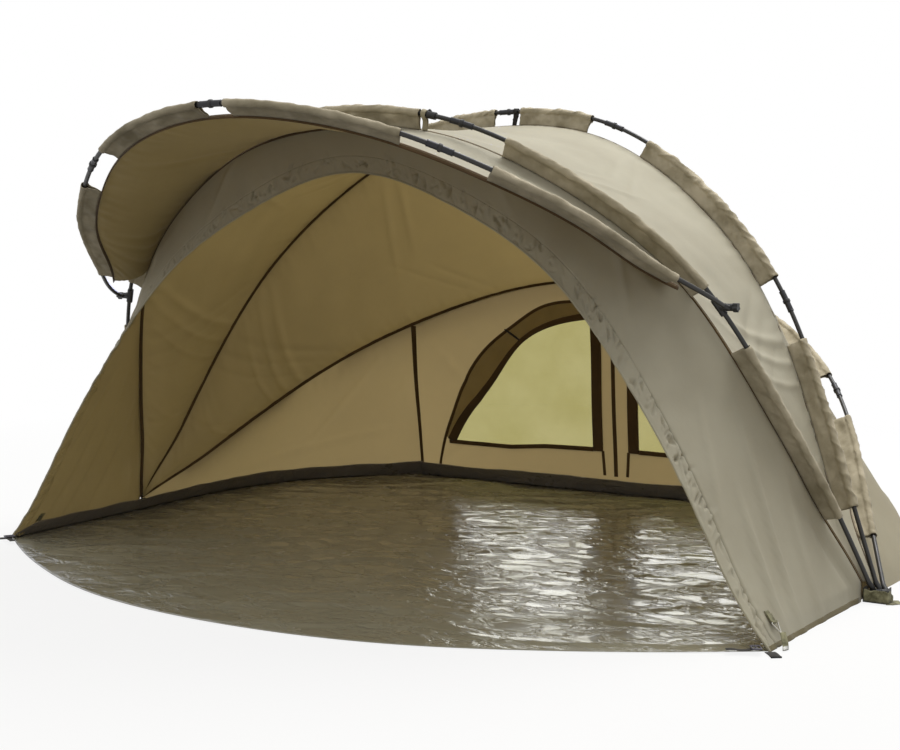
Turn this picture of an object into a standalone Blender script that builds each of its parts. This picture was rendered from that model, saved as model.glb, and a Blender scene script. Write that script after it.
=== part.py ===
"""Bivvy tent for one person: a groundsheet, three main ribs that fold about two ground hinges,
and a peak rib that folds about two brackets on the front rib, with the fabric between them.

Metres. X runs from the left hinge to the right one as seen from the door, Y from the door to the
back, and Z up. The origin is on the ground, midway between the hinges.
"""

import math

import bmesh
import bpy
import numpy as np
from mathutils import Matrix, Vector

for old in list(bpy.data.objects):
    bpy.data.objects.remove(old, do_unlink=True)

# Clearances
CLEAR = 0.0003
SEW_GAP = 0.0006
OVERRUN = 0.004

# Poles and their fittings
POLE_RADIUS = 0.0065
POLE_SIDES = 8
SLEEVE_SIDES = 6
HOLE_SIDES = 12
FERRULE_WALL = 0.0022
FERRULE_LENGTH = 0.072
HINGE_HEIGHT = 0.026
EYE_RADIUS = 0.011
EYE_WIDTH = 0.016
STUB = 0.018
PIN_RADIUS = 0.0035
PIN_HEAD_RADIUS = 0.0075
PIN_HEAD_HEIGHT = 0.003
CHEEK_WALL = 0.003
CHEEK_ROOM = 0.011
CHEEK_RISE = 0.014
BASE_WALL = 0.004
BASE_LENGTH = 0.048
BASE_BEVEL = 0.0008

# Ribs: lean from upright, towards the back, and reach from the hinge line to the front rib's crown
FRONT_LEAN = math.radians(-23.6)
MID_LEAN = math.radians(15.5)
REAR_LEAN = math.radians(55.4)
RIB_REACH = 1.465
MID_EXTRA = 0.0045
REAR_EXTRA = 0.054
FRONT_FOOT = 1.39
FRONT_SHAPE_SHARES = ((1, 0), (0.93, 0.22), (0.846, 0.427), (0.72, 0.66), (0.513, 0.843), (0.255, 0.968),
                      (0, 1))
MID_SHAPE_SHARES = ((1, 0), (0.91, 0.214), (0.825, 0.413), (0.697, 0.634), (0.505, 0.825), (0.255, 0.965),
                    (0, 1))
RIB_STATIONS = 36
CUT_STEP = 0.0015
JOIN_GAP = 0.0012

# Peak rib, on the brackets
BRACKET_HEIGHT_SHARE = 0.589
PEAK_LEAN = math.radians(-56.4)
PEAK_REACH = 0.94
PEAK_BOW = 0.034
PEAK_BOW_SHARE = 0.6
PEAK_SHAPE_SHARES = ((1, 0), (0.993, 0.05), (0.923, 0.217), (0.819, 0.453), (0.65, 0.675), (0.451, 0.852),
                     (0.219, 0.965), (0, 1))
BRACKET_RADIUS = 0.0105
BRACKET_LENGTH = 0.05
BOSS_LENGTH = 0.018
BOSS_RADIUS = 0.011
BOLT_RADIUS = 0.003
BOLT_DEPTH = 0.006
PEAK_EYE_RADIUS = 0.010
PEAK_EYE_WIDTH = 0.021
KNOB_RADIUS = 0.013
KNOB_HEIGHT = 0.014
KNOB_LOBES = 5
KNOB_LOBE_RADIUS = 0.0035

# Sleeves: stretches along a rib, from one end to the other, as shares of the foot's half width
FRONT_SLEEVE_SHARES = ((0.95, 0.809), (0.744, 0.38), (0.196, -0.196))
MID_SLEEVE_SHARES = ((0.934, 0.792), (0.716, 0.383), (0.23, 0.036))
REAR_SLEEVE_SHARES = ((0.94, 0.793), (0.711, -0.711))
PEAK_SLEEVE_SHARES = ((0.931, 0.635), (0.46, 0.041))
FRONT_FERRULE_SHARES = (0.288,)
MID_FERRULE_SHARES = (0.748, 0.29, 0)
REAR_FERRULE_SHARES = (0.744,)
PEAK_FERRULE_SHARES = (0.538, 0)
SLEEVE_WALL = 0.0014
SLEEVE_WEB = 0.0024
SEAM_DEPTH = 0.05
SEAM_FOOT_DEPTH = 0.018
SEAM_TAPER = 0.35
TAPE_HALF = 0.006
TAPE_WALL = 0.002
TAPE_START = 0.13
PANEL_START = 0.04

# Fabric
FABRIC = 0.001
ROOF_SAG = 0.018
PEAK_SAG = 0.02
PANEL_STEPS = 3
SURROUND_STEPS = 2
PANEL_STATIONS = 30
HEM_LIFT = 0.001

# Ground plan
CORNER_X = 1.366
CORNER_Y = 0.03
FRONT_CORNER_X = 1.33
FRONT_CORNER_Y = -0.656
SIDE_BULGE_X = 1.318
SIDE_BULGE_Y = 0.82
REAR_CORNER_X = 0.955
REAR_CORNER_Y = 1.305
REAR_Y = 1.272
WALL_CORNER_SHARE = 0.565

# Door opening
ARCH_HEIGHT = 1.192
ARCH_LEAN = 0.1
ARCH_SHAPE_SHARES = ((1, 0), (0.94, 0.085), (0.85, 0.253), (0.757, 0.42), (0.647, 0.587), (0.508, 0.755),
                     (0.4, 0.84), (0.25, 0.925), (0.12, 0.98), (0, 1))

# Rear windows
WINDOW_INNER = 0.1
WINDOW_OUTER = 0.754
WINDOW_SILL = 0.17
WINDOW_HEIGHT = 0.545
WINDOW_SHAPE_SHARES = ((1, 0), (0.876, 0.204), (0.667, 0.486), (0.436, 0.82), (0.2, 0.955), (0, 1))
WINDOW_STATIONS = 14
WALL_STATIONS = 14
WALL_STEPS = 3

# Groundsheet
SHEET_WALL = 0.002
SHEET_INSET = 0.0019
SHEET_FRONT_Y = -1.155
SHEET_FRONT_SHARES = ((1, 0), (0.824, 0.31), (0.618, 0.61), (0.412, 0.84), (0.19, 0.97), (0, 1))
SHEET_FRONT_STATIONS = 18
LIP_FRONT = 0.018
LIP_REAR = 0.07
LIP_LEAN_SHARE = 0.9

# Webbing, tabs and rings
WEBBING = 0.002
HINGE_TAB_WIDTH = 0.056
HINGE_TAB_LENGTH = 0.036
STRAP_WIDTH = 0.026
STRAP_LENGTH = 0.05
STRAP_TURN = math.radians(38)
PEG_TAB_WIDTH = 0.022
PEG_TAB_LENGTH = 0.034
PEG_TAB_RISE = 0.078
PEG_TAB_SETBACK = 0.095
RING_WIRE = 0.0016
RING_WIDTH = 0.03
RING_LENGTH = 0.032

# Looks
KHAKI = (0.39, 0.36, 0.26)
SLEEVE = (0.17, 0.14, 0.08)
BLACK = (0.02, 0.02, 0.022)
GREY = (0.09, 0.095, 0.1)
OLIVE = (0.12, 0.12, 0.05)
PVC = (0.11, 0.095, 0.07)
WINDOW = (0.52, 0.5, 0.2)
STEEL = (0.6, 0.59, 0.55)
POLE_LOOK = (BLACK, 0.35, 0.3)

tent = bpy.data.collections.new("bivvy_tent")
cutters = bpy.data.collections.new("cutters")
bpy.context.scene.collection.children.link(tent)
bpy.context.scene.collection.children.link(cutters)


def material(name, colour, roughness, metallic=0.0):
    """A Principled material for one kind of piece."""
    made = bpy.data.materials.new(name)
    made.use_nodes = True
    shader = made.node_tree.nodes["Principled BSDF"]
    shader.inputs["Base Color"].default_value = (*colour, 1)
    shader.inputs["Roughness"].default_value = roughness
    shader.inputs["Metallic"].default_value = metallic
    made.diffuse_color = (*colour, 1)
    return made


def add(name, mesh, look=None, home=tent):
    """A mesh as an object: a part of the tent, or a cutter when home is the cutters."""
    made = bpy.data.objects.new(name, mesh)
    home.objects.link(made)
    if home is cutters:
        made.hide_render = True
        made.display_type = "WIRE"
    elif look:
        mesh.materials.append(material(name, *look))
    return made


def run_of(path):
    """The distance along a path at each of its points."""
    return np.r_[0, np.cumsum(np.linalg.norm(np.diff(path, axis=0), axis=1))]


def read_at(places, run, path):
    """A path's points at some distances along it."""
    return np.array([np.interp(places, run, path[:, k]) for k in range(path.shape[1])]).T


def resampled(path, count):
    """The path read at count + 1 evenly spaced places along it."""
    run = run_of(path)
    return read_at(np.linspace(0, run[-1], count + 1), run, path)


def spline(points, count):
    """A natural cubic spline through the points, read at count + 1 places evenly along it."""
    points = np.array(points, float)
    chord = run_of(points)
    steps = np.diff(chord)
    size = len(points)
    matrix = np.eye(size)
    right = np.zeros_like(points)
    for i in range(1, size - 1):
        matrix[i, i - 1: i + 2] = steps[i - 1], 2 * (steps[i - 1] + steps[i]), steps[i]
        slopes = (points[i + 1] - points[i]) / steps[i] - (points[i] - points[i - 1]) / steps[i - 1]
        right[i] = 6 * slopes
    bend = np.linalg.solve(matrix, right)

    def read(at):
        i = np.clip(np.searchsorted(chord, at, side="right") - 1, 0, size - 2)
        a = ((chord[i + 1] - at) / steps[i])[:, None]
        b = 1 - a
        cubic = ((a**3 - a) * bend[i] + (b**3 - b) * bend[i + 1]) * (steps[i] ** 2)[:, None] / 6
        return a * points[i] + b * points[i + 1] + cubic

    return resampled(read(np.linspace(0, chord[-1], 40 * count)), count)


def arch_outline(half_width, height, shares, count):
    """A symmetric arch from its right half: (x, height) from the left foot to the right one."""
    half = [(x * half_width, y * height) for x, y in shares]
    return spline([(-x, y) for x, y in half] + half[-2::-1], count)


def rib_path(foot, reach, lean, shares, pivot_y=0, pivot_z=HINGE_HEIGHT, bow=0):
    """Pole stations of a rib from left foot to right foot, in its plane through the pivot line.

    Each foot stands square to the pivot line over the height of a stub. bow moves the legs out of
    the plane, towards the door, most just above the foot.
    """
    flat = arch_outline(foot, reach, shares, RIB_STATIONS)
    flat = np.vstack([flat[0], (-foot, STUB), flat[1:-1], (foot, STUB), flat[-1]])
    up = np.array([0, math.sin(lean), math.cos(lean)])
    ahead = np.array([0, -math.cos(lean), math.sin(lean)])
    rise = np.clip(flat[:, 1] / reach, 0, 1)
    out = bow * np.sin(math.pi * rise**PEAK_BOW_SHARE)
    path = np.outer(flat[:, 0], (1, 0, 0)) + np.outer(flat[:, 1], up) + np.outer(out, ahead)
    return path + np.array([0, pivot_y, pivot_z])


def plane_normal(lean):
    """The direction square to a rib's plane, towards the back."""
    return np.array([0, math.cos(lean), -math.sin(lean)])


def inward(path, lean):
    """Unit vectors in the rib's plane, square to the pole and towards the inside of the tent."""
    along = np.gradient(path, axis=0)
    sideways = np.cross(along, plane_normal(lean))
    sideways /= np.linalg.norm(sideways, axis=1)[:, None]
    middle = path[len(path) // 2]
    inside = middle * np.array([0, 1, 1]) * 0.4 - path
    sign = np.sign((sideways * inside).sum(axis=1))
    return sideways * sign[:, None]


def seam_path(path, lean, depth=SEAM_DEPTH, foot_depth=SEAM_FOOT_DEPTH):
    """The fabric's seam line inside a rib, drawn in towards the pole near the feet."""
    run = np.r_[0, np.cumsum(np.linalg.norm(np.diff(path, axis=0), axis=1))]
    near = np.clip(np.minimum(run, run[-1] - run) / SEAM_TAPER, 0, 1)
    ease = near * near * (3 - 2 * near)
    return path + inward(path, lean) * (foot_depth + (depth - foot_depth) * ease)[:, None]


def run_at(path, x):
    """The distance along a rib at one x."""
    return float(np.interp(x, path[:, 0], run_of(path)))


def stretch(path, start, finish, follower=None):
    """The part of a path between two distances along it, with its own stations kept.

    With a follower, an array station by station beside the path, that array's part is read.
    """
    run = run_of(path)
    inside = (run > start + CUT_STEP) & (run < finish - CUT_STEP)
    places = np.r_[start, run[inside], finish]
    return read_at(places, run, path if follower is None else follower)


def lengthened(path, extra):
    """The same path, run on straight past both ends."""
    first = path[0] + (path[0] - path[1]) / np.linalg.norm(path[0] - path[1]) * extra
    last = path[-1] + (path[-1] - path[-2]) / np.linalg.norm(path[-1] - path[-2]) * extra
    return np.vstack([first, path[1:-1], last])


def tube_mesh(name, path, radius, sides=POLE_SIDES, cyclic=False):
    """A round tube along a path, as one closed mesh with an even number of sides."""
    curve = bpy.data.curves.new(name, "CURVE")
    curve.dimensions = "3D"
    curve.bevel_depth = radius
    curve.bevel_resolution = sides // 2 - 2
    curve.use_fill_caps = not cyclic
    line = curve.splines.new("POLY")
    line.points.add(len(path) - 1)
    for point, place in zip(line.points, path):
        point.co = (*place, 1)
    line.use_cyclic_u = cyclic
    holder = bpy.data.objects.new(name, curve)
    mesh = bpy.data.meshes.new_from_object(holder)
    bpy.data.objects.remove(holder)
    work = bmesh.new()
    work.from_mesh(mesh)
    bmesh.ops.remove_doubles(work, verts=work.verts, dist=radius * 0.01)
    bmesh.ops.recalc_face_normals(work, faces=work.faces)
    work.to_mesh(mesh)
    work.free()
    return mesh


def bore_radius(radius, sides):
    """Corner radius of a many-sided bore whose flats stay clear of a round pole."""
    return (radius + CLEAR) / math.cos(math.pi / sides)


def boolean(target, other, operation):
    """Cuts other out of target, or joins it on; other is an object or a collection."""
    change = target.modifiers.new(operation.lower(), "BOOLEAN")
    change.operation = operation
    change.solver = "EXACT"
    if isinstance(other, bpy.types.Collection):
        change.operand_type = "COLLECTION"
        change.collection = other
    else:
        change.object = other
    return change


def grid_mesh(name, rows):
    """An open surface of triangles through rows of points, each row of the same length."""
    rows = np.array(rows, float)
    high, wide = rows.shape[:2]
    work = bmesh.new()
    bmesh.ops.create_grid(work, x_segments=wide - 1, y_segments=high - 1, size=1)
    work.verts.ensure_lookup_table()
    order = sorted(work.verts, key=lambda v: (round(v.co.y, 5), round(v.co.x, 5)))
    for vertex, place in zip(order, rows.reshape(-1, 3)):
        vertex.co = place
    bmesh.ops.triangulate(work, faces=work.faces)
    mesh = bpy.data.meshes.new(name)
    work.to_mesh(mesh)
    work.free()
    return mesh


def sheet(name, rows, look, thickness=FABRIC):
    """A fabric panel: an open surface with its thickness about the middle."""
    made = add(name, grid_mesh(name, rows), look)
    solid = made.modifiers.new("thickness", "SOLIDIFY")
    solid.thickness = thickness
    solid.offset = 0
    solid.use_even_offset = True
    return made


def cylinder(name, radius, length, centre):
    """A round bar along X, as a cutter or a piece to join on."""
    work = bmesh.new()
    bmesh.ops.create_cone(
        work, cap_ends=True, segments=HOLE_SIDES, radius1=radius, radius2=radius, depth=length,
        matrix=Matrix.Rotation(math.pi / 2, 4, "Y"),
    )
    mesh = bpy.data.meshes.new(name)
    work.to_mesh(mesh)
    work.free()
    made = add(name, mesh, home=cutters)
    made.location = centre
    return made


def flat_outline(name, points, thickness, look=None, home=tent, inner=()):
    """A flat plate from an outline in its own XY plane, with optional holes, about its middle."""
    curve = bpy.data.curves.new(name, "CURVE")
    curve.dimensions = "2D"
    curve.fill_mode = "BOTH"
    curve.extrude = thickness / 2
    for outline in (points, *inner):
        line = curve.splines.new("POLY")
        line.points.add(len(outline) - 1)
        for point, (x, y) in zip(line.points, outline):
            point.co = (x, y, 0, 1)
        line.use_cyclic_u = True
    holder = bpy.data.objects.new(name, curve)
    mesh = bpy.data.meshes.new_from_object(holder)
    bpy.data.objects.remove(holder)
    work = bmesh.new()
    work.from_mesh(mesh)
    bmesh.ops.remove_doubles(work, verts=work.verts, dist=CLEAR / 3)
    bmesh.ops.recalc_face_normals(work, faces=work.faces)
    work.to_mesh(mesh)
    work.free()
    return add(name, mesh, look, home)


def blend_row(first, last, share, sag=0, middle=None):
    """Points between two edges, pulled towards the inside of the tent by the sag."""
    row = first * (1 - share) + last * share
    if sag:
        towards = middle - row
        towards /= np.linalg.norm(towards, axis=1)[:, None]
        row = row + towards * sag * 4 * share * (1 - share)
    return row


def panel(name, first, last, look, sag=0, steps=PANEL_STEPS):
    """A fabric panel between two seam edges with the same number of stations."""
    middle = np.array([0, (first[:, 1].mean() + last[:, 1].mean()) / 2, HINGE_HEIGHT])
    rows = [blend_row(first, last, i / steps, sag, middle) for i in range(steps + 1)]
    return sheet(name, rows, look)


def foot_pole(name, path, eye_centre, eye_radius, eye_width, hole_radius):
    """A pole whose foot is flattened round a cross hole, its eye, that turns on a pin along X."""
    made = add(name, tube_mesh(name, path, POLE_RADIUS), POLE_LOOK)
    bore = bore_radius(hole_radius, HOLE_SIDES)
    boolean(made, cylinder(name + "_eye", eye_radius, eye_width, eye_centre), "UNION")
    boolean(made, cylinder(name + "_hole", bore, eye_width + OVERRUN, eye_centre), "DIFFERENCE")
    return made


def ferrule(name, path, middle):
    """A sleeve of metal over the meeting ends of two poles, centred at one distance along the path."""
    run = stretch(path, middle - FERRULE_LENGTH / 2, middle + FERRULE_LENGTH / 2)
    bore = bore_radius(POLE_RADIUS, POLE_SIDES)
    made = add(name, tube_mesh(name, run, bore + FERRULE_WALL), (GREY, 0.3, 0.6))
    inner = add(name + "_bore", tube_mesh(name + "_bore", lengthened(run, OVERRUN), bore), home=cutters)
    boolean(made, inner, "DIFFERENCE")
    return made


def rib_poles(label, path, breaks, eye):
    """The poles of one rib between its breaks, with an eye on each foot."""
    places = [0, *sorted(breaks), run_of(path)[-1]]
    last = len(places) - 2
    for i, (start, finish) in enumerate(zip(places, places[1:])):
        run = stretch(path, start + (JOIN_GAP / 2 if i else 0), finish - (JOIN_GAP / 2 if i < last else 0))
        name = f"pole_{label}_{i + 1}"
        if i == 0:
            foot_pole(name, run, path[0], *eye)
        elif i == last:
            foot_pole(name, run, path[-1], *eye)
        else:
            add(name, tube_mesh(name, run, POLE_RADIUS), POLE_LOOK)


def sleeve_section(depth, open_here):
    """The section of a sleeve from its seam: (across, up to the pole) points, in one fixed count.

    Where the sleeve is open to show the pole, only the seam tape is left, with a low bead on it.
    """
    half = TAPE_WALL / 2
    web = SLEEVE_WEB / 2
    radius = bore_radius(POLE_RADIUS, SLEEVE_SIDES) + SLEEVE_WALL
    turns = np.radians(np.linspace(-60, 240, SLEEVE_SIDES))
    if open_here:
        loop = [(web - 2 * web * (i + 1) / (SLEEVE_SIDES + 1), half * 1.4) for i in range(SLEEVE_SIDES)]
    else:
        loop = [(radius * math.cos(t), depth + radius * math.sin(t)) for t in turns]
    right = [(-TAPE_HALF, -half), (TAPE_HALF, -half), (TAPE_HALF, half), (web, half)]
    return [*right, *loop, (-web, half), (-TAPE_HALF, half)]


def loft(name, rings):
    """A closed body through rings of points, each ring of the same count, capped at both ends."""
    work = bmesh.new()
    verts = [[work.verts.new(place) for place in ring] for ring in rings]
    count = len(verts[0])
    for here, there in zip(verts, verts[1:]):
        for k in range(count):
            work.faces.new((here[k], here[(k + 1) % count], there[(k + 1) % count], there[k]))
    work.faces.new(verts[0])
    work.faces.new(verts[-1])
    bmesh.ops.recalc_face_normals(work, faces=work.faces)
    mesh = bpy.data.meshes.new(name)
    work.to_mesh(mesh)
    work.free()
    return mesh


def sleeve(label, path, seam, lean, stretches, start, finish):
    """A rib's seam tape from start to finish along the rib, with its sleeve stretches, bored for the pole."""
    name = f"sleeve_{label}"
    run = run_of(path)
    ends = [end for pair in stretches for end in pair]
    inside = [d for d in run if start < d < finish and min(abs(d - end) for end in ends) > 3 * CUT_STEP]
    marks = [(d, not any(a < d < b for a, b in stretches)) for d in [start, *inside, finish]]
    for a, b in stretches:
        marks += [(a - CUT_STEP, True), (a, False), (b, False), (b + CUT_STEP, True)]
    marks = [mark for mark in sorted(marks) if start <= mark[0] <= finish]
    places = np.array([d for d, open_here in marks])
    poles, seams, outs = (read_at(places, run, source) for source in (path, seam, -inward(path, lean)))
    depths = np.linalg.norm(poles - seams, axis=1)
    normal = plane_normal(lean)
    rings = [
        [seams[i] + normal * across + outs[i] * up for across, up in sleeve_section(depths[i], open_here)]
        for i, (d, open_here) in enumerate(marks)
    ]
    made = add(name, loft(name, rings), (SLEEVE, 0.85))
    bore = bore_radius(POLE_RADIUS, SLEEVE_SIDES)
    inner = add(name + "_bore", tube_mesh(name + "_bore", path, bore, SLEEVE_SIDES), home=cutters)
    boolean(made, inner, "DIFFERENCE")
    return made


def both_sides(shares):
    """Shares on both sides of the middle, each once, from left to right."""
    return sorted({s for share in shares for s in (share, -share)})


def edge_of(label, side, start, finish):
    """A panel's edge beside a rib's seam tape: side is -1 towards the door and 1 towards the back."""
    rib = RIBS[label]
    moved = rib["seam"] + plane_normal(rib["lean"]) * side * (TAPE_HALF + SEW_GAP)
    return stretch(rib["path"], start, finish, moved)


EYE_PITCH = EYE_WIDTH + CLEAR
MID_FOOT = FRONT_FOOT + EYE_PITCH
REAR_FOOT = FRONT_FOOT + 2 * EYE_PITCH
MID_REACH = RIB_REACH + MID_EXTRA
REAR_REACH = RIB_REACH + REAR_EXTRA
HINGE_EYE = (EYE_RADIUS, EYE_WIDTH, PIN_RADIUS)

front = rib_path(FRONT_FOOT, RIB_REACH, FRONT_LEAN, FRONT_SHAPE_SHARES)
mid = rib_path(MID_FOOT, MID_REACH, MID_LEAN, MID_SHAPE_SHARES)
rear = rib_path(REAR_FOOT, REAR_REACH, REAR_LEAN, MID_SHAPE_SHARES)


# The bracket sits on the front rib where it reaches the bracket's height
leg = front[len(front) // 2:][::-1]
leg_rise = np.linalg.norm(leg[:, 1:] - np.array([0, HINGE_HEIGHT]), axis=1)
BRACKET_X = float(np.interp(RIB_REACH * BRACKET_HEIGHT_SHARE, leg_rise, leg[:, 0]))
BRACKET_RUN = run_at(front, BRACKET_X)
BRACKET_PLACE = read_at([BRACKET_RUN], run_of(front), front)[0]
BOSS_FACE = BRACKET_X + BOSS_LENGTH
PEAK_FOOT = BOSS_FACE + CLEAR + PEAK_EYE_WIDTH / 2
PEAK_EYE = (PEAK_EYE_RADIUS, PEAK_EYE_WIDTH, BOLT_RADIUS)
peak = rib_path(
    PEAK_FOOT, PEAK_REACH, PEAK_LEAN, PEAK_SHAPE_SHARES, BRACKET_PLACE[1], BRACKET_PLACE[2], PEAK_BOW,
)

RIBS = {
    "front": {"path": front, "lean": FRONT_LEAN, "foot": FRONT_FOOT, "eye": HINGE_EYE,
              "sleeves": FRONT_SLEEVE_SHARES, "ferrules": FRONT_FERRULE_SHARES},
    "mid": {"path": mid, "lean": MID_LEAN, "foot": MID_FOOT, "eye": HINGE_EYE,
            "sleeves": MID_SLEEVE_SHARES, "ferrules": MID_FERRULE_SHARES},
    "rear": {"path": rear, "lean": REAR_LEAN, "foot": REAR_FOOT, "eye": HINGE_EYE,
             "sleeves": REAR_SLEEVE_SHARES, "ferrules": REAR_FERRULE_SHARES},
    "peak": {"path": peak, "lean": PEAK_LEAN, "foot": PEAK_FOOT, "eye": PEAK_EYE,
             "sleeves": PEAK_SLEEVE_SHARES, "ferrules": PEAK_FERRULE_SHARES},
}


def build_rib(label, rib):
    """Poles, ferrules and sleeve of one rib, with its seam line and the ends of its panels kept in rib."""
    path, foot = rib["path"], rib["foot"]
    joins = [run_at(path, share * foot) for share in both_sides(rib["ferrules"])]
    breaks = [*joins, run_at(path, -BRACKET_X), BRACKET_RUN] if label == "front" else joins
    rib_poles(label, path, breaks, rib["eye"])
    for i, middle in enumerate(joins):
        ferrule(f"ferrule_{label}_{i + 1}", path, middle)
    seam = seam_path(path, rib["lean"])
    length = run_of(path)[-1]
    if label == "peak":
        start = panel_start = run_at(path, -rib["sleeves"][0][0] * foot) - FERRULE_LENGTH / 2
    else:
        half = len(seam) // 2
        far = np.linalg.norm(seam - path[0], axis=1)
        start, panel_start = np.interp((TAPE_START, PANEL_START), far[:half], run_of(path)[:half])
    rib["seam"], rib["start"], rib["finish"] = seam, panel_start, length - panel_start
    stretches = {
        tuple(sorted(run_at(path, sign * share * foot) for share in pair))
        for pair in rib["sleeves"] for sign in (-1, 1)
    }
    sleeve(label, path, seam, rib["lean"], sorted(stretches), start, length - start)


def build_hinge(side, sign):
    """One ground hinge: a folded base plate with two cheeks, and the pin that the three eyes turn on."""
    inner = FRONT_FOOT - EYE_WIDTH / 2 - CHEEK_ROOM
    outer = REAR_FOOT + EYE_WIDTH / 2 + CLEAR
    top = HINGE_HEIGHT + CHEEK_RISE
    outline = [
        (inner - CHEEK_WALL, 0), (outer + CHEEK_WALL, 0), (outer + CHEEK_WALL, top), (outer, top),
        (outer, BASE_WALL), (inner, BASE_WALL), (inner, top), (inner - CHEEK_WALL, top),
    ]
    base = flat_outline(f"hinge_base_{side}", [(sign * x, z) for x, z in outline], BASE_LENGTH, (BLACK, 0.5))
    base.rotation_euler = (math.pi / 2, 0, 0)
    length = outer - inner + 2 * CHEEK_WALL
    seat = length / 2 + CLEAR
    middle = sign * (inner + outer) / 2
    axis = (middle, 0, HINGE_HEIGHT)
    hole_radius = bore_radius(PIN_RADIUS, HOLE_SIDES)
    hole = cylinder(f"hinge_hole_{side}", hole_radius, length + OVERRUN, axis)
    boolean(base, hole, "DIFFERENCE")
    rounding = base.modifiers.new("edges", "BEVEL")
    rounding.width = BASE_BEVEL
    rounding.segments = 1
    rounding.limit_method = "ANGLE"
    pin = turned(
        f"hinge_pin_{side}",
        [(0, seat + PIN_HEAD_HEIGHT), (PIN_HEAD_RADIUS, seat + PIN_HEAD_HEIGHT), (PIN_HEAD_RADIUS, seat),
         (PIN_RADIUS, seat), (PIN_RADIUS, -seat), (PIN_HEAD_RADIUS, -seat),
         (PIN_HEAD_RADIUS, -seat - PIN_HEAD_HEIGHT), (0, -seat - PIN_HEAD_HEIGHT)],
        (STEEL, 0.35, 0.9),
    )
    pin.rotation_euler = (0, math.pi / 2, 0)
    pin.location = axis
    reach = outer + CHEEK_WALL + CLEAR
    half = HINGE_TAB_WIDTH / 2
    shoulder = reach + HINGE_TAB_LENGTH / 2
    tab = flat_outline(
        f"hinge_tab_{side}",
        [(sign * reach, -half), (sign * shoulder, -half), (sign * (reach + HINGE_TAB_LENGTH), 0),
         (sign * shoulder, half), (sign * reach, half)],
        WEBBING, (OLIVE, 0.9),
    )
    tab.location = (0, 0, WEBBING / 2)


def turned(name, profile, look):
    """A body turned about its own Z from a profile of (radius, height) points."""
    work = bmesh.new()
    verts = [work.verts.new((radius, 0, height)) for radius, height in profile]
    for a, b in zip(verts, verts[1:]):
        work.edges.new((a, b))
    mesh = bpy.data.meshes.new(name)
    work.to_mesh(mesh)
    work.free()
    made = add(name, mesh, look)
    screw = made.modifiers.new("turn", "SCREW")
    screw.steps = HOLE_SIDES
    screw.render_steps = HOLE_SIDES
    screw.use_merge_vertices = True
    screw.merge_threshold = CLEAR / 6
    return made


def build_bracket(side, sign):
    """One moulded bracket on the front rib, with the boss that the peak rib's knob screws into."""
    place = BRACKET_PLACE * np.array([sign, 1, 1])
    middle = run_at(front, sign * BRACKET_X)
    run = stretch(front, middle - BRACKET_LENGTH / 2, middle + BRACKET_LENGTH / 2)
    bracket = add(f"bracket_{side}", tube_mesh("bracket", run, BRACKET_RADIUS), (BLACK, 0.45))
    start = POLE_RADIUS / 2
    boss_middle = place + np.array([sign * (BOSS_LENGTH + start) / 2, 0, 0])
    boss = cylinder(f"boss_{side}", BOSS_RADIUS, BOSS_LENGTH - start, boss_middle)
    boolean(bracket, boss, "UNION")
    bore = tube_mesh("bracket_bore", lengthened(run, OVERRUN), bore_radius(POLE_RADIUS, POLE_SIDES))
    boolean(bracket, add(f"bracket_bore_{side}", bore, home=cutters), "DIFFERENCE")
    hole_length = BOLT_DEPTH + OVERRUN
    hole = cylinder(
        f"boss_hole_{side}", bore_radius(BOLT_RADIUS, HOLE_SIDES), hole_length,
        place + np.array([sign * (BOSS_LENGTH - BOLT_DEPTH + hole_length / 2), 0, 0]),
    )
    boolean(bracket, hole, "DIFFERENCE")


def build_knob(side, sign):
    """One thumb knob, whose bolt holds the peak rib's eye on the bracket's boss."""
    bolt_start = BRACKET_X + BOSS_LENGTH - BOLT_DEPTH + CLEAR
    head_start = PEAK_FOOT + PEAK_EYE_WIDTH / 2 + CLEAR
    outline = []
    for i in range(KNOB_LOBES * 6):
        angle = 2 * math.pi * i / (KNOB_LOBES * 6)
        radius = KNOB_RADIUS - KNOB_LOBE_RADIUS * (1 - math.cos(KNOB_LOBES * angle)) / 2
        outline.append((radius * math.cos(angle), radius * math.sin(angle)))
    knob = flat_outline(f"knob_{side}", outline, KNOB_HEIGHT, (BLACK, 0.4))
    knob.rotation_euler = (0, math.pi / 2, 0)
    knob.location = (sign * (head_start + KNOB_HEIGHT / 2), BRACKET_PLACE[1], BRACKET_PLACE[2])
    length = head_start + KNOB_HEIGHT / 2 - bolt_start
    bolt = cylinder(
        f"bolt_{side}", BOLT_RADIUS, length,
        (sign * (bolt_start + length / 2), BRACKET_PLACE[1], BRACKET_PLACE[2]),
    )
    boolean(knob, bolt, "UNION")


def side_line(sign, inset=0):
    """The tent's ground line on one side, from the hinge to the rear corner."""
    rear_corner = (REAR_CORNER_X - inset, REAR_CORNER_Y - inset)
    bulge = (SIDE_BULGE_X - inset, SIDE_BULGE_Y)
    line = spline([(CORNER_X - inset, CORNER_Y), bulge, rear_corner], WALL_STATIONS)
    return np.c_[sign * line[:, 0], line[:, 1], np.full(len(line), HEM_LIFT)]


def rear_line(inset=0):
    """The ground line across the back, from the left corner to the right one."""
    ends = np.linspace(-1, 1, WALL_STATIONS + 1)
    y = REAR_Y + (REAR_CORNER_Y - REAR_Y) * ends**2 - inset
    return np.c_[ends * (REAR_CORNER_X - inset), y, np.full(len(ends), HEM_LIFT)]


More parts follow.
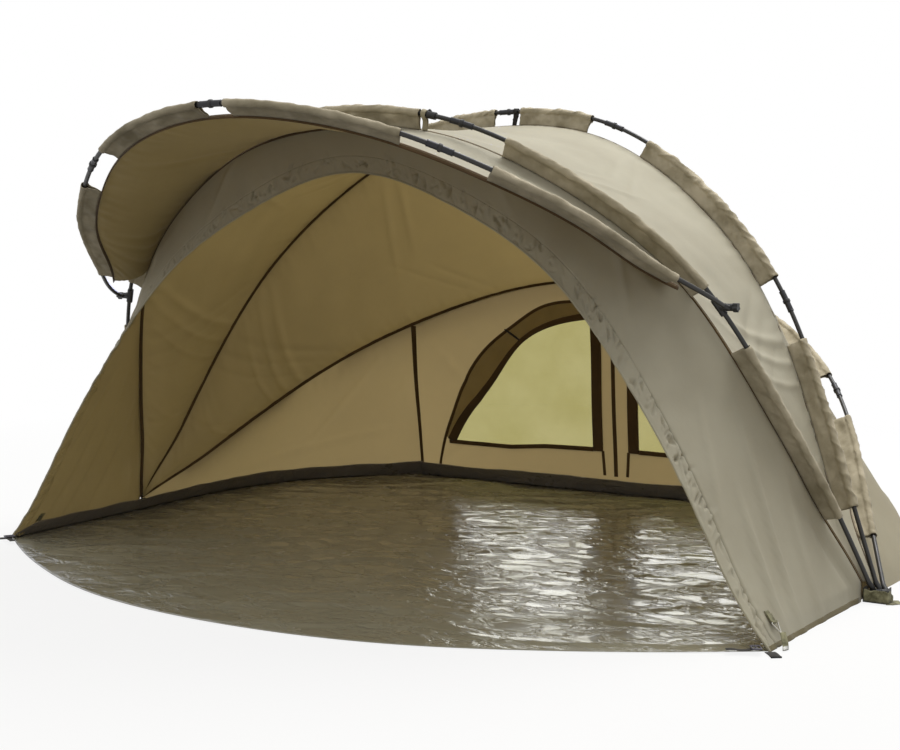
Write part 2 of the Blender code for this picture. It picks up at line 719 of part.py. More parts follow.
def window_cutter(name, sign, grow):
    """A prism through the rear wall in the outline of one window, larger by grow all round."""
    wide = WINDOW_OUTER - WINDOW_INNER
    corners = [(WINDOW_INNER + wide * x, WINDOW_SILL + WINDOW_HEIGHT * z) for x, z in WINDOW_SHAPE_SHARES]
    outline = [(WINDOW_INNER, WINDOW_SILL), *spline(corners, WINDOW_STATIONS)]
    middle = np.array(outline).mean(axis=0)
    grown = []
    for point in outline:
        away = np.array(point) - middle
        grown.append(np.array(point) + away / np.linalg.norm(away) * grow)
    prism = flat_outline(name, [(sign * x, z) for x, z in grown], REAR_Y, home=cutters)
    prism.rotation_euler = (math.pi / 2, 0, 0)
    prism.location = (0, REAR_Y, 0)
    return prism


def build_walls():
    """Side walls and the rear wall with its two windows, from the rear rib down to the ground."""
    rib = RIBS["rear"]
    corners = [run_at(rib["path"], sign * WALL_CORNER_SHARE * REAR_FOOT) for sign in (-1, 1)]
    for side, sign in (("left", -1), ("right", 1)):
        top = edge_of("rear", 1, *((rib["start"], corners[0]) if sign < 0 else (corners[1], rib["finish"])))
        top = resampled(top if sign < 0 else top[::-1], WALL_STATIONS)
        bottom = side_line(sign)
        for edge in (top, bottom):
            edge[-1] += (edge[-2] - edge[-1]) / np.linalg.norm(edge[-2] - edge[-1]) * SEW_GAP
        panel(f"side_wall_{side}", top, bottom, (KHAKI, 0.8), steps=WALL_STEPS)
    top = resampled(edge_of("rear", 1, *corners), WALL_STATIONS)
    bottom = rear_line()
    wall = panel("rear_wall", top, bottom, (KHAKI, 0.8), steps=WALL_STEPS)
    for side, sign in (("left", -1), ("right", 1)):
        boolean(wall, window_cutter(f"window_hole_{side}", sign, SEW_GAP), "DIFFERENCE")
        window = panel(f"window_{side}", top, bottom, (WINDOW, 0.2), steps=WALL_STEPS)
        boolean(window, window_cutter(f"window_cut_{side}", sign, 0), "INTERSECT")


def build_roof():
    """The two roof panels between the three ribs, and the canopy between front rib and peak rib."""
    for name, ahead, back in (("roof_front", "front", "mid"), ("roof_rear", "mid", "rear")):
        first = resampled(edge_of(ahead, 1, RIBS[ahead]["start"], RIBS[ahead]["finish"]), PANEL_STATIONS)
        last = resampled(edge_of(back, -1, RIBS[back]["start"], RIBS[back]["finish"]), PANEL_STATIONS)
        panel(name, first, last, (KHAKI, 0.8), ROOF_SAG)
    first = resampled(edge_of("peak", 1, RIBS["peak"]["start"], RIBS["peak"]["finish"]), PANEL_STATIONS)
    end = FRONT_SLEEVE_SHARES[1][0] * FRONT_FOOT - SEAM_DEPTH
    last = edge_of("front", -1, run_at(front, -end), run_at(front, end))
    panel("peak_canopy", first, resampled(last, PANEL_STATIONS), (KHAKI, 0.8), PEAK_SAG)


def arch_line(count):
    """The door opening's edge from the left front corner, over the top, to the right one."""
    flat = arch_outline(FRONT_CORNER_X, ARCH_HEIGHT, ARCH_SHAPE_SHARES, count)
    return np.c_[flat[:, 0], FRONT_CORNER_Y + ARCH_LEAN * flat[:, 1], flat[:, 1] + HEM_LIFT]


def build_surround():
    """The front panel round the door opening, from the front rib's tape to the opening's edge."""
    rib = RIBS["front"]
    drop = TAPE_WALL / 2 + FABRIC / 2 + 2 * SEW_GAP
    edge = stretch(front, rib["start"], rib["finish"], rib["seam"] + inward(front, FRONT_LEAN) * drop)
    hem = np.array([CORNER_X, -CORNER_Y, HEM_LIFT])
    edge = np.vstack([hem * np.array([-1, 1, 1]), edge, hem])
    arch = arch_line(len(edge) - 1)
    rows = [blend_row(arch, edge, i / SURROUND_STEPS) for i in range(SURROUND_STEPS + 1)]
    sheet("door_surround", rows, (KHAKI, 0.8))
    return np.array(rows)


def surface_place(rows, height, setback, sign):
    """A point, its outward normal and its downward direction on the surround, beside one front corner."""
    half = len(rows[0]) // 2
    arch, behind = (row[:half:-1] * np.array([sign, 1, 1]) for row in rows[:2])
    stations = np.arange(len(arch))
    at = np.interp(height, arch[:, 2], stations)
    point, back = (read_at([at], stations, row)[0] for row in (arch, behind))
    back -= point
    back /= np.linalg.norm(back)
    down = read_at([at / 2], stations, arch)[0] - point
    down -= back * (down @ back)
    down /= np.linalg.norm(down)
    outward = np.cross(back, down)
    outward *= np.sign(outward[0] * sign)
    return point + back * setback, outward, down


def place_flat(made, centre, outward, down):
    """Turns a flat piece drawn in its XY plane so that -Y points down and Z points outward."""
    up = Vector(-down)
    out = Vector(outward)
    made.matrix_world = Matrix.Translation(Vector(centre)) @ Matrix(
        (up.cross(out), up, out)
    ).transposed().to_4x4()


def rounded_triangle(width, length, radius):
    """A ring's wire line: a bar across the top and two legs to a point below, with round corners."""
    corners = [np.array([-width / 2, 0]), np.array([width / 2, 0]), np.array([0, -length])]
    line = []
    for i, corner in enumerate(corners):
        before = corners[i - 1] - corner
        after = corners[(i + 1) % 3] - corner
        start = corner + before / np.linalg.norm(before) * radius
        finish = corner + after / np.linalg.norm(after) * radius
        for t in (0, 0.5, 1):
            line.append(start * (1 - t) ** 2 + corner * 2 * t * (1 - t) + finish * t**2)
    return np.c_[np.array(line), np.zeros(len(line))]


def rectangle(half_width, low, high):
    """A rectangle's outline, centred across."""
    return [(-half_width, low), (half_width, low), (half_width, high), (-half_width, high)]


def build_peg_tabs(rows):
    """A webbing tab on each front corner panel, with a bent wire ring hung in its loop."""
    bore = bore_radius(RING_WIRE, HOLE_SIDES)
    loop_radius = bore + WEBBING / 2
    for side, sign in (("left", -1), ("right", 1)):
        place, outward, down = surface_place(rows, PEG_TAB_RISE, PEG_TAB_SETBACK, sign)
        centre = place + outward * (FABRIC / 2 + SEW_GAP + loop_radius) + down * PEG_TAB_LENGTH
        outline = rectangle(PEG_TAB_WIDTH / 2, 0, PEG_TAB_LENGTH)
        tab = flat_outline(f"peg_tab_{side}", outline, WEBBING, (OLIVE, 0.9))
        tab.data.transform(Matrix.Translation((0, 0, WEBBING / 2 - loop_radius)))
        place_flat(tab, centre, outward, down)
        for name, radius, length, action in (
            ("loop", loop_radius, PEG_TAB_WIDTH, "UNION"),
            ("bore", bore, PEG_TAB_WIDTH + OVERRUN, "DIFFERENCE"),
        ):
            bar = cylinder(f"peg_{name}_{side}", radius, length, (0, 0, 0))
            bar.parent = tab
            boolean(tab, bar, action)
        wire = rounded_triangle(RING_WIDTH, RING_LENGTH, RING_WIRE * 2)
        loop = tube_mesh("v_ring", wire, RING_WIRE, SLEEVE_SIDES, True)
        ring = add(f"v_ring_{side}", loop, (STEEL, 0.3, 0.9))
        place_flat(ring, centre, outward, down)


def build_straps():
    """The webbing strap on each front corner, that runs out along the ground to its peg."""
    for side, sign in (("left", -1), ("right", 1)):
        start = FABRIC / 2 + SEW_GAP
        outline = rectangle(STRAP_WIDTH / 2, start, start + STRAP_LENGTH)
        strap = flat_outline(f"front_strap_{side}", outline, WEBBING, (BLACK, 0.9))
        strap.rotation_euler = (0, 0, math.pi + sign * STRAP_TURN)
        strap.location = (sign * FRONT_CORNER_X, FRONT_CORNER_Y, WEBBING / 2)


def sheet_outline(inset):
    """The groundsheet's edge: the bowed front, then round the right side, the back and the left side."""
    wide = FRONT_CORNER_X - inset
    front_edge = arch_outline(wide, 1, SHEET_FRONT_SHARES, SHEET_FRONT_STATIONS)
    corner_y = FRONT_CORNER_Y + inset
    front_y = corner_y + (SHEET_FRONT_Y - corner_y) * front_edge[:, 1]
    bow = np.c_[front_edge[:, 0], front_y]
    right = side_line(1, inset)[:, :2]
    back = rear_line(inset)[:, :2][::-1]
    left = side_line(-1, inset)[::-1, :2]
    return bow, np.vstack([bow[-1], right, back[1:-1], left, bow[0]])


def build_groundsheet():
    """The groundsheet: a flat floor, with a lip that leans in and rises from the door to the back."""
    bow, rim = sheet_outline(SHEET_INSET)
    floor = flat_outline("groundsheet", [*bow[1:-1], *rim], SHEET_WALL, (PVC, 0.25))
    floor.location = (0, 0, SHEET_WALL / 2)
    rim = sheet_outline(SHEET_INSET + SHEET_WALL)[1]
    share = np.clip((rim[:, 1] - FRONT_CORNER_Y) / (REAR_Y - FRONT_CORNER_Y), 0, 1)
    height = LIP_FRONT + (LIP_REAR - LIP_FRONT) * share**1.5
    along = np.gradient(rim, axis=0)
    inside = np.c_[-along[:, 1], along[:, 0]]
    inside /= np.linalg.norm(inside, axis=1)[:, None]
    foot = np.c_[rim, np.full(len(rim), SHEET_WALL / 2)]
    top = np.c_[rim + inside * (height * LIP_LEAN_SHARE)[:, None], height]
    lip = add("lip", grid_mesh("lip", [foot, top]), home=cutters)
    solid = lip.modifiers.new("thickness", "SOLIDIFY")
    solid.thickness = SHEET_WALL
    solid.offset = 0
    boolean(floor, lip, "UNION")


FOLDS = (
    ("rear_fold", ("pole_rear", "ferrule_rear", "sleeve_rear", "roof_rear")),
    ("mid_fold", ("pole_mid", "ferrule_mid", "sleeve_mid", "roof_front")),
    ("front_fold", ("pole_front", "ferrule_front", "sleeve_front", "bracket", "boss", "knob", "bolt",
                    "door_surround", "peak_canopy", "peg", "v_ring")),
    ("peak_fold", ("pole_peak", "ferrule_peak", "sleeve_peak")),
)


def hang_on_folds():
    """Parents each rib's pieces, and their cutters, to an empty on the axis that the rib turns on.

    The empties are nested, because each rib is counted from the one behind it.
    """
    before = None
    before_place = Vector()
    for name, starts in FOLDS:
        pivot = Vector((0, 0, HINGE_HEIGHT))
        if name == "peak_fold":
            pivot = Vector(BRACKET_PLACE * np.array([0, 1, 1]))
        empty = bpy.data.objects.new(name, None)
        tent.objects.link(empty)
        empty.parent = before
        empty.location = pivot - before_place
        for piece in [*tent.objects, *cutters.objects]:
            if piece.name.startswith(starts) and piece.parent is None:
                piece.parent = empty
                piece.matrix_parent_inverse = Matrix.Translation(-pivot)
        before = empty
        before_place = pivot


def build():
    """The whole tent."""
    for label, rib in RIBS.items():
        build_rib(label, rib)
    for side, sign in (("left", -1), ("right", 1)):
        build_hinge(side, sign)
        build_bracket(side, sign)
        build_knob(side, sign)
    build_walls()
    build_roof()
    build_peg_tabs(build_surround())
    build_straps()
    build_groundsheet()
    hang_on_folds()


build()
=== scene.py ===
"""A one-person bivvy tent, dressed over its CAD frame.

Three pole ribs turn on two ground hinges, a fourth rib holds the porch out, and coated cloth is stretched
between them over a glossy groundsheet. Everything is in metres, with +Z up and the door towards -Y.
"""
import math

import bpy
import numpy as np
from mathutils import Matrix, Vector


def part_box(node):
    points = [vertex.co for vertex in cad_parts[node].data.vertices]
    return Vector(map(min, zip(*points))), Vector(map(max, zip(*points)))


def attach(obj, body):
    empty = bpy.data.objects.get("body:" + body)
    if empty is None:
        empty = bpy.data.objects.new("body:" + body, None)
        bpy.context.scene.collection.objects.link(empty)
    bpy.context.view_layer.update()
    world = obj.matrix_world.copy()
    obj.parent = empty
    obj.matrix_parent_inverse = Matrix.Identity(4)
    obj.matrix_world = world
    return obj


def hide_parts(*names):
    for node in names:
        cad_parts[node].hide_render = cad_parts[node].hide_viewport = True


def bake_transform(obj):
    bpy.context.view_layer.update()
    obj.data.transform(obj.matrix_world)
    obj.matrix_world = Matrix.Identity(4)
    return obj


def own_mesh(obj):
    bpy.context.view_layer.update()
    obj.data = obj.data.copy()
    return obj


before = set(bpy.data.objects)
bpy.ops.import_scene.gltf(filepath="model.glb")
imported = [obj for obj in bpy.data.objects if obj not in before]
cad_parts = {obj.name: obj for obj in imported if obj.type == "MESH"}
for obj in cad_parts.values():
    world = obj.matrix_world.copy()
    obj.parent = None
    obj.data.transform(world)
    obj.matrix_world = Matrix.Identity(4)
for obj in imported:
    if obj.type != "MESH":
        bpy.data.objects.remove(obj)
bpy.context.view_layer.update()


# Studio: a plain white floor that keeps the tent's soft shadow, under an even white sky. One large soft lamp
# hangs high on the camera's right. A bluer one stands far behind the tent, and its light comes through the
# windows and the cloth.

def linear(code):
    """An sRGB hex colour as linear RGBA: v / 12.92 up to 0.04045, and ((v + 0.055) / 1.055)^2.4 above it."""
    values = np.array([int(code[i:i + 2], 16) for i in (1, 3, 5)]) / 255
    return (*np.where(values <= 0.04045, values / 12.92, ((values + 0.055) / 1.055) ** 2.4), 1.0)


def node(tree, kind, settings=None, links=None):
    """One node. Settings go to its properties or sockets, and links join other nodes to its sockets."""
    made = tree.nodes.new(kind)
    for key, value in (settings or {}).items():
        if isinstance(key, str) and hasattr(made, key):
            setattr(made, key, value)
        else:
            made.inputs[key].default_value = value
    for key, source in (links or {}).items():
        output = source.outputs[0] if isinstance(source, bpy.types.Node) else source
        tree.links.new(output, made.inputs[key])
    return made


def emptied(owner):
    """The node tree of a material or a world, with nothing in it yet."""
    owner.use_nodes = True
    owner.node_tree.nodes.clear()
    return owner.node_tree


def seen_directly(tree):
    """One for a ray from the camera, off a mirror or through clear film, and zero for every other ray."""
    path = node(tree, "ShaderNodeLightPath")
    shiny = node(tree, "ShaderNodeMath", {"operation": "MAXIMUM"},
                 {0: path.outputs["Is Camera Ray"], 1: path.outputs["Is Glossy Ray"]})
    return node(tree, "ShaderNodeMath", {"operation": "MAXIMUM"},
                {0: shiny, 1: path.outputs["Is Transmission Ray"]})


SKY_LEVEL = 0.78
sky = bpy.data.worlds.new("even white sky")
tree = emptied(sky)
sky_light = node(tree, "ShaderNodeBackground", {"Color": linear("#FFFFFF"), "Strength": SKY_LEVEL})
sky_seen = node(tree, "ShaderNodeBackground", {"Color": linear("#FFFFFF"), "Strength": 1.0})
sky_mix = node(tree, "ShaderNodeMixShader", None, {0: seen_directly(tree), 1: sky_light, 2: sky_seen})
node(tree, "ShaderNodeOutputWorld", None, {"Surface": sky_mix})
bpy.context.scene.world = sky

# White paper: it shows as white, but for a share of the tent's shadow near the middle, and bounces less light
FLOOR_SHADOW, SHADOW_REACH, SHADOW_END = 0.16, 2.2, 4.6
paper = bpy.data.materials.new("white studio paper")
tree = emptied(paper)
seen = seen_directly(tree)
bounce = node(tree, "ShaderNodeMix", {"data_type": "RGBA", 6: linear("#8A8884"), 7: linear("#DCDAD5")},
              {0: seen})
matt = node(tree, "ShaderNodeBsdfDiffuse", None, {"Color": bounce.outputs[2]})
white = node(tree, "ShaderNodeEmission", {"Color": linear("#FFFFFF"), "Strength": 1.0})
radius = node(tree, "ShaderNodeVectorMath", {"operation": "LENGTH"},
              {0: node(tree, "ShaderNodeTexCoord").outputs["Object"]})
fade = node(tree, "ShaderNodeMapRange",
            {"From Min": SHADOW_REACH, "From Max": SHADOW_END, "To Min": 1 - FLOOR_SHADOW, "To Max": 1.0},
            {"Value": radius.outputs["Value"]})
share = node(tree, "ShaderNodeMath", {"operation": "MULTIPLY"}, {0: seen, 1: fade})
paper_mix = node(tree, "ShaderNodeMixShader", None, {0: share, 1: matt, 2: white})
node(tree, "ShaderNodeOutputMaterial", None, {"Surface": paper_mix})

FLOOR_HALF = 30.0
floor_mesh = bpy.data.meshes.new("studio_floor")
floor_mesh.from_pydata([(x * FLOOR_HALF, y * FLOOR_HALF, 0) for x, y in ((-1, -1), (1, -1), (1, 1), (-1, 1))],
                       [], [(0, 1, 2, 3)])
floor_mesh.materials.append(paper)
studio_floor = bpy.data.objects.new("studio_floor", floor_mesh)
bpy.context.scene.collection.objects.link(studio_floor)

for name, size, power, place, aim, colour in (
    ("soft_lamp", 3.6, 260.0, (1.2, 1.9, 5.2), (0, 0, 0.6), "#FFFFFF"),
    ("back_lamp", 3.4, 365.0, (-4.7, 10.5, 2.45), (0, 0.4, 0.3), "#AEB5FF"),
):
    light = bpy.data.lights.new(name, "AREA")
    light.shape, light.size, light.energy = "DISK", size, power
    light.color = linear(colour)[:3]
    lamp = bpy.data.objects.new(name, light)
    lamp.location = place
    lamp.rotation_euler = (Vector(aim) - Vector(place)).to_track_quat("-Z", "Y").to_euler()
    lamp.visible_camera = False
    bpy.context.scene.collection.objects.link(lamp)


# Camera: stands right of the door at the height of a person's chest and looks slightly down, as fitted to the
# ribs, corners and hinges of the photograph.

CAMERA_PLACE = (2.5018, -3.9622, 0.9492)
CAMERA_TURN, CAMERA_PITCH = 0.5616, 0.0814
CAMERA_LENS, CAMERA_SENSOR = 58.015, 36.0
camera = bpy.data.objects.new("camera", bpy.data.cameras.new("camera"))
camera.data.lens, camera.data.sensor_width = CAMERA_LENS, CAMERA_SENSOR
camera.location = CAMERA_PLACE
camera.rotation_euler = (math.pi / 2 - CAMERA_PITCH, 0, CAMERA_TURN)
bpy.context.scene.collection.objects.link(camera)
bpy.context.scene.camera = camera
bpy.context.scene.view_settings.view_transform = "Standard"


# Poles: four ribs of 13 mm tube, satin black over fibreglass, each in several lengths with an eye of moulded
# nylon on each foot. The three long ribs turn on the ground hinges, the peak rib on the front rib's brackets.

POLE_RADIUS, POLE_AROUND = 0.0065, 16
# The length of pole between two sections, and the points along a whole rib
STATION, RIB_STATIONS = 0.012, 320
HINGE_HEIGHT = 0.026
# How each rib's plane leans back, its half span, its reach from foot to top, and its feet's (y, z)
LEANS = {"front": math.radians(-23.6), "mid": math.radians(15.5), "rear": math.radians(55.4),
         "peak": math.radians(-56.4)}
FEET = {"front": 1.39, "mid": 1.4063, "rear": 1.4226, "peak": 1.09367}
REACHES = {"front": 1.465, "mid": 1.4695, "rear": 1.519, "peak": 0.94}
PIVOTS = {"front": (0, HINGE_HEIGHT), "mid": (0, HINGE_HEIGHT), "rear": (0, HINGE_HEIGHT),
          "peak": (-0.345455, 0.816716)}
# Each arch's right half, from the foot up, as shares of the half span and the reach
MID_SHAPE = ((1, 0), (0.91, 0.214), (0.825, 0.413), (0.697, 0.634), (0.505, 0.825), (0.255, 0.965), (0, 1))
SHAPES = {
    "front": ((1, 0), (0.93, 0.22), (0.846, 0.427), (0.72, 0.66), (0.513, 0.843), (0.255, 0.968), (0, 1)),
    "mid": MID_SHAPE,
    "rear": MID_SHAPE,
    "peak": ((1, 0), (0.993, 0.05), (0.923, 0.217), (0.819, 0.453), (0.65, 0.675), (0.451, 0.852),
             (0.219, 0.965), (0, 1)),
}
# The peak rib's legs bow ahead of its plane by this much
PEAK_BOW, PEAK_BOW_SHARE = 0.034, 0.6
# Below this height a rib stands straight up from its foot
STUB = 0.018
FOOT_RADIUS, FOOT_LENGTH, FOOT_START = 0.0075, 0.034, 0.004
# Each eye's radius and width, its hole and the bevel of its rim
EYES = {"front": (0.011, 0.016), "mid": (0.011, 0.016), "rear": (0.011, 0.016), "peak": (0.010, 0.021)}
EYE_HOLE, EYE_BEVEL, EYE_AROUND = 0.0038, 0.0012, 28
# Where the poles join, as shares of the rib's half span, and where the brackets part the front rib
FERRULE_SHARES = {"front": (0.288,), "mid": (0.748, 0.29, 0), "rear": (0.744,), "peak": (0.538, 0)}
BRACKET_X = 1.06486956
JOIN_GAP, FOOT_GAP = 0.0012, 0.006
SIDES = (("left", -1), ("right", 1))


def run_of(path):
    """The distance along a path at each of its points: the running sum of the steps' lengths."""
    return np.r_[0, np.cumsum(np.linalg.norm(np.diff(path, axis=0), axis=1))]


def read_at(places, run, path):
    """A path's points at some distances along it, straight between its own points."""
    return np.stack([np.interp(places, run, path[:, k]) for k in range(path.shape[1])], axis=-1)


def resampled(path, count):
    """The path read at count + 1 evenly spaced places along it."""
    run = run_of(path)
    return read_at(np.linspace(0, run[-1], count + 1), run, path)


def spline(points, count):
    """A natural cubic through the points over their chord length, read at count + 1 even places.

    The bend at each inner point solves h0 b0 + 2 (h0 + h1) b1 + h1 b2 = 6 (slope after - slope before).
    """
    points = np.array(points, float)
    chord = run_of(points)
    steps = np.diff(chord)
    slopes = np.diff(points, axis=0) / steps[:, None]
    matrix = np.eye(len(points))
    inner = np.arange(1, len(points) - 1)
    matrix[inner, inner - 1] = steps[:-1]
    matrix[inner, inner] = 2 * (steps[:-1] + steps[1:])
    matrix[inner, inner + 1] = steps[1:]
    right = np.zeros_like(points)
    right[1:-1] = 6 * np.diff(slopes, axis=0)
    bend = np.linalg.solve(matrix, right)
    at = np.linspace(0, chord[-1], 12 * count)
    i = np.clip(np.searchsorted(chord, at, side="right") - 1, 0, len(points) - 2)
    a = ((chord[i + 1] - at) / steps[i])[:, None]
    b = 1 - a
    cubic = ((a**3 - a) * bend[i] + (b**3 - b) * bend[i + 1]) * (steps[i] ** 2)[:, None] / 6
    return resampled(a * points[i] + b * points[i + 1] + cubic, count)


def arch_outline(half_width, height, shares, count):
    """A symmetric arch in its own plane from its right half: (x, height) from the left foot to the right."""
    half = [(x * half_width, y * height) for x, y in shares]
    return spline([(-x, y) for x, y in half] + half[-2::-1], count)


def plane_normal(lean):
    """The direction square to a plane that leans back by an angle: (0, cos, -sin)."""
    return np.array([0, math.cos(lean), -math.sin(lean)])


def rib_path(label):
    """A pole line: the arch stood up along (0, sin lean, cos lean), its legs bowed by sin(pi rise^share)."""
    lean, foot, reach = LEANS[label], FEET[label], REACHES[label]
    flat = arch_outline(foot, reach, SHAPES[label], RIB_STATIONS)
    near = flat[:, 1] < STUB
    flat[near, 0] = np.sign(flat[near, 0]) * foot
    up = np.array([0, math.sin(lean), math.cos(lean)])
    rise = np.clip(flat[:, 1] / reach, 0, 1)
    bow = (PEAK_BOW if label == "peak" else 0) * np.sin(math.pi * rise**PEAK_BOW_SHARE)
    path = np.outer(flat[:, 0], (1, 0, 0)) + np.outer(flat[:, 1], up) - np.outer(bow, plane_normal(lean))
    return path + np.array([0, *PIVOTS[label]])


paths = {label: rib_path(label) for label in LEANS}
runs = {label: run_of(path) for label, path in paths.items()}


def run_at(label, x):
    """The distance along a rib at one x."""
    return float(np.interp(x, paths[label][:, 0], runs[label]))


def stretch_of(label, start, finish, step=STATION):
    """The pole line between two distances along a rib, read about one step apart."""
    places = np.linspace(start, finish, max(3, int(round((finish - start) / step)) + 1))
    return read_at(places, runs[label], paths[label])


def swept(path, side, profile):
    """A section carried along a path: each ring is point + side * a + out * b, for (a, b) on the profile.

    out is along x side. The profile is one section for the whole path or one for each of its points.
    """
    side = np.broadcast_to(side, path.shape)
    out = np.cross(np.gradient(path, axis=0), side)
    out = out / np.linalg.norm(out, axis=1)[:, None]
    profile = np.broadcast_to(profile, (len(path), *np.shape(profile)[-2:]))
    return path[:, None] + side[:, None] * profile[..., :1] + out[:, None] * profile[..., 1:]


def circle(radius, count=POLE_AROUND):
    """A round section with its points spaced evenly about the middle, or one for each of several radii."""
    turn = np.linspace(0, 2 * math.pi, count, endpoint=False)
    return np.stack([np.cos(turn), np.sin(turn)], axis=-1) * np.asarray(radius)[..., None, None]


def cells_of(index):
    """The cells of a grid of point numbers, each with its four corners in turn."""
    return np.stack([index[:-1, :-1], index[:-1, 1:], index[1:, 1:], index[1:, :-1]], axis=-1).reshape(-1, 4)


def shell(rings, joined=False):
    """A closed skin over rings of points, with its end rings capped, or joined to each other.

    A skin whose signed volume comes out negative has all its faces turned round.
    """
    rows, count = rings.shape[:2]
    index = np.arange(rows * count).reshape(rows, count)
    wide = np.c_[index, index[:, 0]]
    if joined:
        wide = np.vstack([wide, wide[:1]])
    cells = cells_of(wide)
    faces = cells.tolist() + ([] if joined else [index[0, ::-1].tolist(), index[-1].tolist()])
    points = rings.reshape(-1, 3)
    a, b, c = (points[cells[:, k]] - points.mean(axis=0) for k in range(3))
    if (a * np.cross(b, c)).sum() < 0:
        faces = [face[::-1] for face in faces]
    return points, faces, None


def piece(name, shells, materials, body, nodes=None, sharp=None):
    """An object at the origin from one or more shells, smooth but for edges sharper than an angle in degrees.

    It moves with its body, if that is given, takes the materials given, and stands for the nodes named.
    """
    points, faces, spots = zip(*shells)
    bases = np.cumsum([0, *map(len, points)]).tolist()
    faces = [[base + k for k in face] for base, some in zip(bases, faces) for face in some]
    mesh = bpy.data.meshes.new(name)
    mesh.from_pydata(np.vstack(points), [], faces)
    for material in materials:
        mesh.materials.append(material)
    mesh.polygons.foreach_set("use_smooth", np.ones(len(faces), bool))
    if sharp:
        mesh.set_sharp_from_angle(angle=math.radians(sharp))
    if spots[0] is not None:
        mesh.uv_layers.new(name="cloth").data.foreach_set("uv", np.vstack(spots).ravel())
    made = bpy.data.objects.new(name, mesh)
    bpy.context.scene.collection.objects.link(made)
    if body:
        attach(made, body)
    if nodes is not None:
        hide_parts(*nodes)
    return made


FINISH_PATCH, FINISH_SPREAD = 0.03, 0.12


def rough_coat(name, colour, roughness, metallic=0.0, grain=0.0008, depth=0.00006):
    """A hard finish: colour and roughness wander over 3 cm patches, and a fine grain stands up by a depth."""
    made = bpy.data.materials.new(name)
    tree = emptied(made)
    place = node(tree, "ShaderNodeTexCoord").outputs["Object"]
    worn = node(tree, "ShaderNodeTexNoise", {"Scale": 1 / FINISH_PATCH, "Detail": 5.0, "Roughness": 0.65},
                {"Vector": place})
    fine = node(tree, "ShaderNodeTexNoise", {"Scale": 1 / grain, "Detail": 2.0}, {"Vector": place})
    base = linear(colour)
    light = tuple(min(1.0, v * (1 + 2.2 * FINISH_SPREAD) + 0.01 * FINISH_SPREAD) for v in base)
    tint = node(tree, "ShaderNodeMix", {"data_type": "RGBA", 6: base, 7: light}, {0: worn.outputs["Fac"]})
    gloss = node(tree, "ShaderNodeMapRange",
                 {"From Min": 0.3, "From Max": 0.7, "To Min": roughness * (1 - FINISH_SPREAD),
                  "To Max": roughness * (1 + FINISH_SPREAD)},
                 {"Value": worn.outputs["Fac"]})
    bump = node(tree, "ShaderNodeBump", {"Strength": 0.6, "Distance": depth}, {"Height": fine.outputs["Fac"]})
    shader = node(tree, "ShaderNodeBsdfPrincipled", {"Metallic": metallic},
                  {"Base Color": tint.outputs[2], "Roughness": gloss, "Normal": bump})
    node(tree, "ShaderNodeOutputMaterial", None, {"Surface": shader})
    return made


# Satin black varnish over fibreglass: near black with soft long highlights, slightly mottled by handling
varnish = rough_coat("satin black pole varnish", "#1D1B18", 0.42)
# Moulded black nylon: matt with a fine mould grain
nylon = rough_coat("moulded black nylon", "#171614", 0.55, grain=0.0012, depth=0.0001)


def pole_foot(label, end):
    """A pole's foot: a moulded collar round the pole, and an eye, a thick ring about X round the pin."""
    length = runs[label][-1]
    near, far = (FOOT_START, FOOT_LENGTH) if end < 0 else (length - FOOT_LENGTH, length - FOOT_START)
    collar = stretch_of(label, near, far, STATION / 4)
    ease = np.linspace(0, 1, len(collar))
    ease = np.minimum(ease, 1 - ease) * len(collar)
    radius = POLE_RADIUS + (FOOT_RADIUS - POLE_RADIUS) * np.clip(0.55 + ease / 2.4, 0, 1)
    outer, half = EYES[label][0], EYES[label][1] / 2
    section = np.array([(EYE_HOLE, -half), (outer - EYE_BEVEL, -half), (outer, EYE_BEVEL - half),
                        (outer, half - EYE_BEVEL), (outer - EYE_BEVEL, half), (EYE_HOLE, half)])
    turn = np.linspace(0, 2 * math.pi, EYE_AROUND, endpoint=False)
    eye = np.stack([np.broadcast_to(section[:, 1], (len(turn), len(section))),
                    np.outer(np.cos(turn), section[:, 0]), np.outer(np.sin(turn), section[:, 0])], axis=-1)
    eye += paths[label][0 if end < 0 else -1]
    return [shell(swept(collar, plane_normal(LEANS[label]), circle(radius))), shell(eye, joined=True)]


rib_joins = {}
for label, lean in LEANS.items():
    body = f"{label}_rib"
    shares = sorted({s for share in FERRULE_SHARES[label] for s in (share, -share)})
    rib_joins[label] = [run_at(label, share * FEET[label]) for share in shares]
    breaks = [run_at(label, x) for x in (-BRACKET_X, BRACKET_X)] if label == "front" else []
    places = [0, *sorted(rib_joins[label] + breaks), runs[label][-1]]
    last = len(places) - 2
    for i, (start, finish) in enumerate(zip(places, places[1:])):
        name = f"pole_{label}_{i + 1}"
        line = stretch_of(label, start + (JOIN_GAP / 2 if i else FOOT_GAP),
                          finish - (JOIN_GAP / 2 if i < last else FOOT_GAP))
        tube = shell(swept(line, plane_normal(lean), circle(POLE_RADIUS)))
        piece(f"{name}_tube", [tube], [varnish], body, [name], sharp=40)
        if i in (0, last):
            foot = pole_foot(label, 1 if i else -1)
            piece(f"{name}_foot", foot, [nylon], body, [name], sharp=35)


# Ferrules: a 72 mm aluminium tube pressed on the end of one pole, that the next pole slides into. A moulded
# collar round its middle stops it, and both ends are rolled over.

# Anodised aluminium tube: dark grey, brushed soft by drawing
anodised = rough_coat("dark grey anodised aluminium", "#2C2C2E", 0.38, metallic=0.6)
FERRULE_RADIUS, FERRULE_LENGTH = 0.0087, 0.072
COLLAR_RADIUS, COLLAR_SHARE = 0.0112, 0.17
